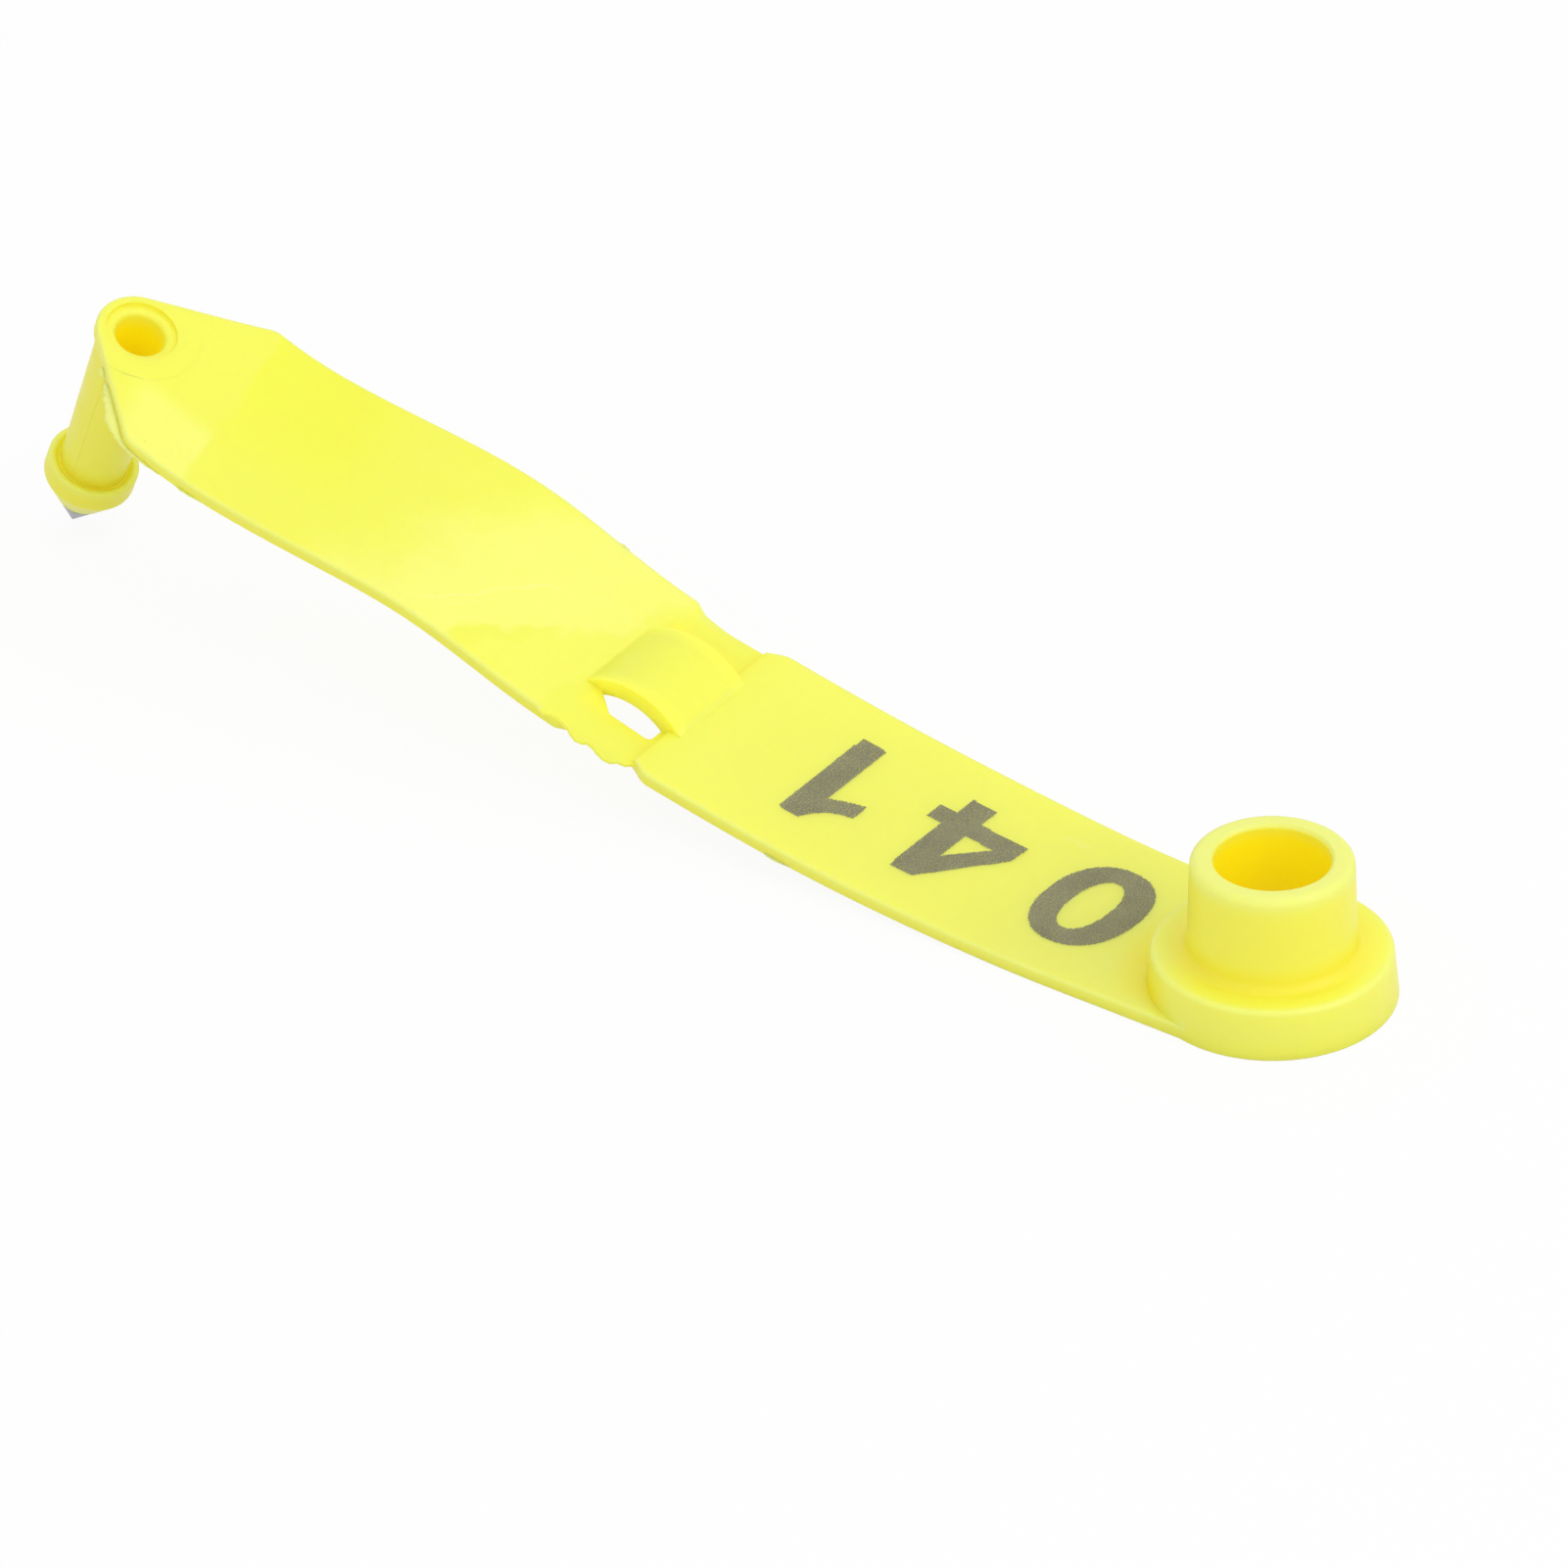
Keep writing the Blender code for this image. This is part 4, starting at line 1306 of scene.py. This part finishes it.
@dataclass
class Flash:
    """The thin scallops of plastic that have leaked out of the mould beside the fold."""

    lip: float = 0.00034
    crest: tuple[float, float] = (0.000745, 0.001195)
    drop: float = 0.00008
    buried: float = 0.00010
    root: float = 0.00012
    fold: tuple[float, float] = (55.2, 62.3)
    band_edge: tuple[tuple[float, float], ...] = (
        (54.80, -8.70), (55.20, -8.60), (57.00, -8.46), (58.75, -8.36), (61.00, -8.60), (62.30, -9.35),
        (64.80, -9.35))
    meets: float = 0.18
    inner: float = 0.70
    lanes: int = 16
    station: float = 0.12
    scallops: tuple[tuple[float, float], ...] = (
        (64.80, -9.10), (63.50, -9.55), (62.80, -9.25), (61.90, -9.20), (61.10, -9.40), (60.55, -9.70),
        (59.95, -9.90), (59.40, -9.78), (59.05, -9.48), (58.50, -9.55), (57.80, -9.78), (57.20, -9.92),
        (56.65, -9.85), (56.05, -9.32), (55.55, -9.20), (55.15, -8.80), (54.80, -8.60))

    @staticmethod
    def across_at(points: Sequence[tuple[float, float]], along: float) -> float:
        """Reads a soft line through (along, across) places, in millimetres."""
        places = sorted(points)
        for (one, low), (two, high) in zip(places, places[1:]):
            if along <= two:
                return low + (high - low) * eased((along - one) / (two - one))
        return places[-1][1]

    def section(self, along: float) -> list[Vector]:
        """The outline of the flash at one place along the strap.

        Args:
            along: The place, in millimetres.

        Returns:
            The section's points, from the inner top round to the inner bottom.
        """
        share = min(max((along - self.fold[0]) / (self.fold[1] - self.fold[0]), 0.0), 1.0)
        crest = self.crest[0] + (self.crest[1] - self.crest[0]) * share
        edge = self.across_at(self.band_edge, along) + self.meets
        inner, rim = edge + self.inner, self.across_at(self.scallops, along)
        points = []
        for lane in range(self.lanes + 1):
            across = inner + (rim - inner) * lane / self.lanes
            sunk = self.buried * (1 - eased((inner - across) / self.inner))
            fall = self.drop * eased((edge - across) / (edge - rim)) if edge > rim else 0.0
            points.append(Vector((-along / 1000, across / 1000, crest - sunk - fall)))
        tip = points[-1]
        points.append(Vector((tip.x, tip.y - self.lip * 0.25, tip.z - self.lip * 0.35)))
        points.append(Vector((tip.x, tip.y - self.lip * 0.15, tip.z - self.lip * 0.75)))
        points.append(Vector((tip.x, tip.y + self.lip * 0.3, tip.z - self.lip)))
        points.append(Vector((tip.x, inner / 1000, self.root)))
        return points

    def solid(self) -> bpy.types.Object:
        """The flash as one flat closed solid."""
        first, last = self.scallops[-1][0], self.scallops[0][0]
        count = round((last - first) / self.station)
        builder = bmesh.new()
        rings = [[builder.verts.new(point) for point in self.section(first + (last - first) * index / count)]
                 for index in range(count + 1)]
        for one, two in zip(rings, rings[1:]):
            for index in range(len(one)):
                after = (index + 1) % len(one)
                builder.faces.new((one[index], one[after], two[after], two[index]))
        builder.faces.new(rings[0])
        builder.faces.new(list(reversed(rings[-1])))
        bmesh.ops.recalc_face_normals(builder, faces=builder.faces)
        return new_object("mould_flash", builder)


@dataclass
class Moulding:
    """The whole yellow moulding, from its flat solids to the laid and shaded piece."""

    strap: Strap = field(default_factory=Strap)
    socket: Socket = field(default_factory=Socket)
    stud: Stud = field(default_factory=Stud)
    flash: Flash = field(default_factory=Flash)
    finish: MouldedPlastic = field(default_factory=MouldedPlastic)
    station: float = 0.0008
    lane: float = 0.00095
    level: float = 0.0009
    flat_model: bpy.types.Object = field(init=False)

    def __post_init__(self) -> None:
        """Builds the flat model at once, because the lie of the strap is settled on it."""
        self.flat_model = self.flat()
        self.sliced(self.flat_model)

    def flat(self) -> bpy.types.Object:
        """The moulding as one flat solid."""
        made = self.strap.plate()
        for cutter in self.strap.cutters():
            combined(made, cutter, "DIFFERENCE")
        combined(made, self.strap.arch(), "UNION")
        combined(made, self.flash.solid(), "UNION")
        combined(made, self.socket.body(), "UNION")
        combined(made, self.stud.body(), "UNION")
        combined(made, self.stud.seam(), "UNION")
        for hollow in (self.socket.bore(), self.stud.bore(), self.stud.witness(), self.stud.seat()):
            combined(made, hollow, "DIFFERENCE")
        return made

    def sliced(self, made: bpy.types.Object) -> None:
        """Cuts the faces into short lengths and lanes, which bend smoothly, and notes each point's painted
        shade, highlight and glow.
        """
        builder = bmesh.new()
        builder.from_mesh(made.data)
        bmesh.ops.remove_doubles(builder, verts=builder.verts, dist=MERGE_DISTANCE)
        start, end = self.socket.flange_radius, self.strap.span - self.strap.spade_radius
        count = round((end - start) / self.station)
        cuts = [((-(start + (end - start) * index / count), 0, 0), (1, 0, 0)) for index in range(count + 1)]
        lanes = round(self.strap.width / self.lane)
        cuts += [((0, self.strap.width * (index / lanes - 0.5), 0), (0, 1, 0)) for index in range(1, lanes)]
        heights = round((self.socket.top + self.stud.cone_bottom) / self.level)
        cuts += [((0, 0, self.socket.top - self.level * (index + 0.5)), (0, 0, 1)) for index in range(heights)
                 if not 0 <= self.socket.top - self.level * (index + 0.5) <= self.strap.thickness]
        for place, way in cuts:
            geom = builder.verts[:] + builder.edges[:] + builder.faces[:]
            bmesh.ops.bisect_plane(builder, geom=geom, dist=MERGE_DISTANCE, plane_co=place, plane_no=way)
        # The painted shade, highlight and glow of each point, read by the plastic's material.
        layers = [builder.verts.layers.float.new(name) for name in ("deep", "pale", "glow")]
        edge = self.strap.edge_tree()
        for vert in builder.verts:
            gap = edge.find((vert.co.x, vert.co.y, 0))[2]
            tone = self.socket.tone(vert.co) | self.stud.tone(vert.co) | self.strap.tone(vert.co, gap)
            for layer, value in zip(layers, (tone.deep, tone.pale, tone.glow)):
                vert[layer] = value
        builder.to_mesh(made.data)
        builder.free()

    def rim(self) -> list[Vector]:
        """The flat model's outermost points, which bound it on every side once it is laid."""
        wide, socket, stud = self.strap.half * 0.96, self.socket.flange_radius * 0.95, self.strap.span
        half, free = self.strap.half, -self.strap.socket_half / 2
        return [vert.co.copy() for vert in self.flat_model.data.vertices
                if (abs(vert.co.y) > wide or vert.co.x > socket or vert.co.x < -stud)
                and not (vert.co.x < free and abs(vert.co.y) > half)]

    def build(self, layer: Layer) -> bpy.types.Object:
        """Lays and dresses the moulding.

        Args:
            layer: Lays flat pieces along the strap.

        Returns:
            The finished piece.
        """
        made = self.flat_model
        layer.lay(made, self.finish.material())
        smooth_shaded(made)
        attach(made, BODY)
        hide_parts("tag_moulding")
        return made


# The marked number

class Digit(Enum):
    """The strokes of each digit as closed outlines, in millimetres along and across the strap."""

    FOUR = (
        ((32.50, -5.30), (30.35, -5.28), (25.50, 0.95), (25.35, 3.10), (29.98, 3.20), (30.06, 5.28),
         (32.40, 5.34), (32.40, 3.24), (33.95, 3.27), (34.00, 1.48), (32.52, 1.44)),
        ((30.13, 1.38), (27.40, 1.18), (30.13, -1.92)),
    )
    ONE = (
        ((43.43, -5.18), (43.38, 5.64), (41.05, 5.56), (41.05, -1.98), (40.15, -1.52), (39.16, -1.09),
         (38.12, -0.80), (38.14, -2.57), (39.30, -2.92), (40.24, -3.47), (40.98, -4.32), (41.52, -5.26)),
    )
    NOUGHT = ((), ())

    def outlines(self) -> list[list[Vector]]:
        """The digit's outlines on the flat strap, in metres."""
        if self is Digit.NOUGHT:
            return [self.oval(17.0, 0.13, 4.15, 5.62, 2.25), self.oval(17.17, 0.12, 1.74, 3.62, 2.15)]
        return [[Vector((-along / 1000, across / 1000)) for along, across in outline]
                for outline in self.value]

    @staticmethod
    def oval(along: float, across: float, half_along: float, half_across: float,
             power: float) -> list[Vector]:
        """A rounded oval.

        Args:
            along: Its centre along the strap, in millimetres.
            across: Its centre across the strap.
            half_along: Half of its size along the strap.
            half_across: Half of its size across it.
            power: How square it is, where two is an ellipse.

        Returns:
            Its points in metres.
        """
        points = []
        for index in range(72):
            angle = math.tau * index / 72
            one, two = math.cos(angle), math.sin(angle)
            x = along + half_along * math.copysign(abs(one) ** (2 / power), one)
            y = across + half_across * math.copysign(abs(two) ** (2 / power), two)
            points.append(Vector((-x / 1000, y / 1000)))
        return points


@dataclass
class LaserNumber:
    """The number that a laser has charred into the strap, as rows of fine dashes."""

    digits: tuple[Digit, ...] = (Digit.NOUGHT, Digit.FOUR, Digit.ONE)
    finish: LaserChar = field(default_factory=LaserChar)
    thickness: float = 0.0012
    height: float = 0.000020
    dash: tuple[float, float] = (0.00009, 0.00012)

    def fills(self) -> bpy.types.Object:
        """The digits as flat filled shapes just over the strap's top."""
        builder = bmesh.new()
        for digit in self.digits:
            edges = []
            for outline in digit.outlines():
                ring = [builder.verts.new((p.x, p.y, self.thickness + self.height)) for p in outline]
                edges += [builder.edges.new(pair) for pair in zip(ring, ring[1:] + ring[:1])]
            bmesh.ops.triangle_fill(builder, edges=edges, use_beauty=True, use_dissolve=False)
        bmesh.ops.recalc_face_normals(builder, faces=builder.faces)
        for face in builder.faces:
            if face.normal.z < 0:
                face.normal_flip()
        return new_object("laser_number", builder)

    def tree(self) -> NodeWeb:
        """The tree that rasters each filled shape into rows of dashes, with a fixed seed."""
        web, given = geometry_tree("laser_raster", {
            "Along": "NodeSocketFloat", "Across": "NodeSocketFloat", "Overlap": "NodeSocketFloat",
            "Jitter": "NodeSocketFloat", "Seed": "NodeSocketInt", "Finish": "NodeSocketMaterial"})
        box = web.add("GeometryNodeBoundBox", {"Geometry": given["Geometry"]}).outputs
        low, high = port(box, "Min"), port(box, "Max")
        size = web.vectors("SUBTRACT", high, low)
        wide, tall, _ = web.parts(size)
        grid = web.add("GeometryNodeMeshGrid", {
            "Size X": web.maths("SUBTRACT", wide, given["Along"]),
            "Size Y": web.maths("SUBTRACT", tall, given["Across"]),
            "Vertices X": web.maths("ADD", web.maths("DIVIDE", wide, given["Along"]), 1.0),
            "Vertices Y": web.maths("ADD", web.maths("DIVIDE", tall, given["Across"]), 1.0)})
        centre = web.scaled(web.vectors("ADD", low, high), 0.5)
        placed = web.add("GeometryNodeSetPosition", {"Geometry": port(grid.outputs, "Mesh"),
                                                     "Offset": centre})
        here = web.add("GeometryNodeInputPosition").outputs[0]
        ray = web.add("GeometryNodeRaycast", {
            "Target Geometry": given["Geometry"], "Source Position": web.vectors("ADD", here, (0, 0, 0.001)),
            "Ray Direction": (0, 0, -1), "Ray Length": 0.01})
        kept = web.add("GeometryNodeSeparateGeometry", {
            "Geometry": placed.outputs[0], "Selection": port(ray.outputs, "Is Hit")}, domain="POINT")
        points = web.add("GeometryNodeMeshToPoints", {"Mesh": port(kept.outputs, "Selection")})
        dash = web.add("GeometryNodeMeshGrid", {
            "Size X": web.maths("MULTIPLY", given["Along"], given["Overlap"]),
            "Size Y": web.maths("MULTIPLY", given["Across"], given["Overlap"]),
            "Vertices X": 2, "Vertices Y": 2})
        spread = web.add("FunctionNodeRandomValue", {
            "Min": (1.0, 0.90, 1.0), "Max": (1.3, 1.06, 1.0), "Seed": given["Seed"]},
            data_type="FLOAT_VECTOR")
        set_down = web.add("GeometryNodeInstanceOnPoints", {
            "Points": points.outputs[0], "Instance": port(dash.outputs, "Mesh"),
            "Scale": port(spread.outputs, "Value")})
        drift = web.add("FunctionNodeRandomValue", {
            "Min": (-1.0, -0.3, 0.0), "Max": (1.0, 0.3, 0.1), "Seed": web.maths("ADD", given["Seed"], 1.0)},
            data_type="FLOAT_VECTOR")
        shaken = web.add("GeometryNodeTranslateInstances", {
            "Instances": set_down.outputs[0],
            "Translation": web.scaled(port(drift.outputs, "Value"), given["Jitter"])})
        close_tree(web, shaken.outputs[0], given["Finish"])
        return web

    def build(self, layer: Layer) -> bpy.types.Object:
        """Builds, lays and dresses the number.

        Args:
            layer: Lays flat pieces along the strap.

        Returns:
            The finished piece.
        """
        made = self.fills()
        finish = self.finish.material()
        grown(made, self.tree(), {"Along": self.dash[0], "Across": self.dash[1], "Overlap": 1.0,
                                  "Jitter": self.dash[0] * 0.35, "Seed": SEED, "Finish": finish})
        layer.lay(made, finish)
        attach(made, BODY)
        return made


# Burrs

@dataclass(frozen=True)
class BurrRun:
    """One run of burr along an edge: flat places in millimetres, each with how far it stands out."""

    places: tuple[tuple[float, float, float, float], ...]


@dataclass
class Burrs:
    """The ragged fins and nubs that trimming has left on the moulding's lower edges."""

    step: float = 0.00012
    ragged: float = 0.35
    grain: float = 2600.0
    flatness: float = 0.45
    # A paler copy of the moulded plastic: a painted highlight on the thin fins.
    finish: MouldedPlastic = MouldedPlastic("thin_plastic", (0.870, 0.925, 0.235), (0.870, 0.915, 0.215))
    runs: tuple[BurrRun, ...] = (
        BurrRun(((111.9, -4.15, 0.15, 0.05), (111.5, -4.55, 0.15, 0.75), (111.2, -4.90, 0.15, 0.70),
                 (110.9, -5.15, 0.25, 0.18), (110.2, -5.75, 0.30, 0.42), (109.3, -6.60, 0.32, 0.56),
                 (108.2, -7.55, 0.32, 0.56), (107.4, -8.20, 0.32, 0.62), (106.8, -8.60, 0.30, 0.42),
                 (105.9, -9.00, 0.28, 0.38), (104.8, -9.20, 0.25, 0.28), (103.4, -9.22, 0.22, 0.18),
                 (101.9, -9.24, 0.20, 0.05))),
        BurrRun(((100.4, -9.28, 0.25, 0.02), (99.5, -9.28, 0.25, 0.16), (98.6, -9.28, 0.25, 0.10),
                 (97.8, -9.28, 0.25, 0.02))),
        BurrRun(((41.7, -9.40, 0.20, 0.02), (41.0, -9.42, 0.20, 0.22), (40.2, -9.44, 0.20, 0.26),
                 (39.2, -9.42, 0.20, 0.12), (38.4, -9.40, 0.20, 0.02))),
        BurrRun(((48.2, 9.42, 0.50, 0.02), (47.5, 9.45, 0.50, 0.30), (46.8, 9.42, 0.50, 0.02))),
        BurrRun(((70.9, 9.25, 0.80, 0.04), (70.3, 9.28, 0.80, 0.30), (69.7, 9.28, 0.80, 0.34),
                 (69.1, 9.25, 0.80, 0.04))),
        BurrRun(((63.0, 8.95, 0.30, 0.04), (62.2, 8.75, 0.35, 0.30), (61.5, 8.55, 0.35, 0.12),
                 (60.6, 8.40, 0.35, 0.03))),
    )

    def paths(self) -> bpy.types.Object:
        """The runs as lines of edges, each point with its reach in metres."""
        verts, edges, reach = [], [], []
        for run in self.runs:
            first = len(verts)
            verts += [(-along / 1000, across / 1000, height / 1000)
                      for along, across, height, _ in run.places]
            reach += [out / 1000 for *_, out in run.places]
            edges += [(index, index + 1) for index in range(first, len(verts) - 1)]
        mesh = bpy.data.meshes.new("edge_burrs")
        mesh.from_pydata(verts, edges, [])
        mesh.attributes.new("reach", "FLOAT", "POINT").data.foreach_set("value", reach)
        made = bpy.data.objects.new("edge_burrs", mesh)
        bpy.context.scene.collection.objects.link(made)
        return made

    def tree(self) -> NodeWeb:
        """The tree that grows a flat ragged fin along each path."""
        web, given = geometry_tree("burr_along_edge", {
            "Step": "NodeSocketFloat", "Ragged": "NodeSocketFloat", "Grain": "NodeSocketFloat",
            "Flatness": "NodeSocketFloat", "Finish": "NodeSocketMaterial"})
        line = web.add("GeometryNodeMeshToCurve", {"Mesh": given["Geometry"]})
        smooth = web.add("GeometryNodeCurveSplineType", {"Curve": line.outputs[0]}, spline_type="CATMULL_ROM")
        even = web.add("GeometryNodeResampleCurve", {"Curve": smooth.outputs[0], "Length": given["Step"]},
                       mode="LENGTH")
        upright = web.add("GeometryNodeSetCurveNormal", {"Curve": even.outputs[0]}, mode="Z_UP")
        reach = web.add("GeometryNodeInputNamedAttribute", {"Name": "reach"}, data_type="FLOAT")
        here = web.add("GeometryNodeInputPosition").outputs[0]
        noise = web.add("ShaderNodeTexNoise", {"Vector": here, "Scale": given["Grain"], "Detail": 2.0})
        off = web.maths("MULTIPLY", web.maths("SUBTRACT", noise.outputs[0], 0.5), web.maths(
            "MULTIPLY", given["Ragged"], 4.0))
        size = web.maths("MULTIPLY", port(reach.outputs, "Attribute"), web.maths("ADD", off, 1.0))
        ring = web.add("GeometryNodeCurvePrimitiveCircle", {"Resolution": 10, "Radius": 1.0})
        squash = web.add("ShaderNodeCombineXYZ", {"X": 1.0, "Y": given["Flatness"], "Z": 1.0})
        profile = web.add("GeometryNodeTransform", {"Geometry": ring.outputs[0], "Scale": squash.outputs[0]})
        fin = web.add("GeometryNodeCurveToMesh", {
            "Curve": upright.outputs[0], "Profile Curve": profile.outputs[0], "Scale": size,
            "Fill Caps": True})
        shaded = web.add("GeometryNodeSetShadeSmooth", {"Geometry": fin.outputs[0]})
        close_tree(web, shaded.outputs[0], given["Finish"])
        return web

    def build(self, layer: Layer) -> bpy.types.Object:
        """Builds, lays and dresses the burrs.

        Args:
            layer: Lays flat pieces along the strap.

        Returns:
            The finished piece.
        """
        finish = self.finish.material()
        made = self.paths()
        grown(made, self.tree(), {"Step": self.step, "Ragged": self.ragged, "Grain": self.grain,
                                  "Flatness": self.flatness, "Finish": finish})
        layer.lay(made, finish)
        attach(made, BODY)
        return made


# The steel point

@dataclass
class SteelPoint:
    """The turned pin in the cone: its piercing point and the shank that holds it."""

    span: float = 0.1122
    thickness: float = 0.0012
    shoulder: float = 0.0210
    radius: float = 0.00209
    length: float = 0.0033
    shank_radius: float = 0.0006
    shank_length: float = 0.0034
    tip_round: float = 0.00008
    segments: int = 64
    finish: TurnedSteel = field(default_factory=TurnedSteel)

    def build(self, layer: Layer) -> bpy.types.Object:
        """Builds, lays and dresses the pin.

        Args:
            layer: Lays flat pieces along the strap.

        Returns:
            The finished piece.
        """
        top = self.thickness
        end = top - self.shoulder - self.length
        low = top - self.shoulder
        profile = rounded([
            (0, end, 0), (self.tip_round, end + self.tip_round * 0.6, 0.00004), (self.radius, low, 0.00003),
            (self.shank_radius, low, 0), (self.shank_radius, low + self.shank_length, 0),
            (0, low + self.shank_length, 0)], closed=False)
        made = spun("steel_point", profile, -self.span, self.segments)
        layer.lay(made, self.finish.material())
        smooth_shaded(made)
        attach(made, BODY)
        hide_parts("piercing_point")
        return made


# The studio

@dataclass(frozen=True)
class Lamp:
    """A square soft lamp that faces the tag, with the length of its side and its power in watts."""

    name: str
    place: tuple[float, float, float]
    size: float
    power: float


@dataclass
class Studio:
    """The table, the soft lamps and the camera at the photograph's angle."""

    azimuth: float = 37.564
    elevation: float = 32.324
    roll: float = -1.267
    distance: float = 1.0224
    focal_pixels: float = 13385.4
    frame_pixels: float = 1601.0
    sensor: float = 36.0
    aim: tuple[float, float, float] = (-0.0465, 0.0, 0.00178)
    ambient: float = 0.72
    table_size: float = 6.0
    finish: PaleTable = field(default_factory=PaleTable)
    lamps: tuple[Lamp, ...] = (
        Lamp("key", (0.80, 0.10, 0.70), 0.8, 2.6), Lamp("front", (0.30, -0.80, 0.60), 0.7, 1.0),
        Lamp("top", (0.05, 0.20, 1.10), 0.9, 1.4))

    def camera(self, shift: Vector) -> None:
        """Places the camera.

        Args:
            shift: Where the flat model's origin is in the frame.
        """
        azimuth, elevation, roll = (math.radians(a) for a in (self.azimuth, self.elevation, self.roll))
        back = Vector((math.sin(azimuth) * math.cos(elevation), -math.cos(azimuth) * math.cos(elevation),
                       math.sin(elevation)))
        right = Vector((math.cos(azimuth), math.sin(azimuth), 0))
        up = back.cross(right)
        turned_right = right * math.cos(roll) + up * math.sin(roll)
        turned_up = up * math.cos(roll) - right * math.sin(roll)
        data = bpy.data.cameras.new("camera")
        data.sensor_width = self.sensor
        data.lens = self.focal_pixels / self.frame_pixels * self.sensor
        data.clip_start, data.clip_end = 0.01, 20.0
        made = bpy.data.objects.new("camera", data)
        bpy.context.scene.collection.objects.link(made)
        place = Vector(self.aim) + shift + back * self.distance
        made.matrix_world = Matrix.Translation(place) @ Matrix(
            (turned_right, turned_up, back)).transposed().to_4x4()
        bpy.context.scene.camera = made

    @staticmethod
    def hang(lamp: Lamp) -> None:
        """Hangs a lamp."""
        data = bpy.data.lights.new(lamp.name, "AREA")
        data.shape, data.size, data.energy = "SQUARE", lamp.size, lamp.power
        made = bpy.data.objects.new(lamp.name, data)
        bpy.context.scene.collection.objects.link(made)
        made.location = lamp.place
        made.rotation_euler = (-Vector(lamp.place)).to_track_quat("-Z", "Y").to_euler()

    def table(self) -> None:
        """Lays the pale table under the tag."""
        builder = bmesh.new()
        bmesh.ops.create_grid(builder, x_segments=1, y_segments=1, size=self.table_size / 2)
        made = new_object("table", builder)
        made.data.materials.append(self.finish.material())

    def world(self) -> None:
        """Fills the room with even light, and shows white to the camera."""
        room = bpy.data.worlds.new("room")
        room.use_nodes = True
        web = NodeWeb(room.node_tree)
        background = room.node_tree.nodes["Background"]
        background.inputs["Color"].default_value = (1, 1, 1, 1)
        strength = web.ramp(seen_directly(web), 0.0, 1.0, self.ambient, 1.0, smooth=False)
        web.feed(background.inputs["Strength"], strength)
        bpy.context.scene.world = room

    def build(self, shift: Vector) -> None:
        """Sets up everything round the tag."""
        bpy.context.scene.view_settings.view_transform = "Standard"
        self.world()
        self.table()
        for lamp in self.lamps:
            self.hang(lamp)
        self.camera(shift)


def report(piece: bpy.types.Object) -> None:
    """Logs one finished piece."""
    piece.data.calc_loop_triangles()
    LOG.info("%s: %d triangles, %.1f mm long", piece.name, len(piece.data.loop_triangles),
             max(piece.dimensions) * 1000)


def main() -> None:
    """Builds the tag and its studio in order."""
    logging.basicConfig(level=logging.INFO, format="%(name)s: %(message)s")
    moulding = Moulding()
    lie = StrapLie()
    lie.settle(moulding.rim())
    LOG.info("origin of the flat model at %s", tuple(round(value * 1000, 3) for value in lie.shift))
    layer = Layer(lie)
    body = moulding.build(layer)
    report(body)
    report(LaserNumber().build(layer))
    report(Burrs().build(layer))
    report(SteelPoint().build(layer))
    layer.clear()
    Studio().build(lie.shift)


if __name__ == "__main__":
    main()
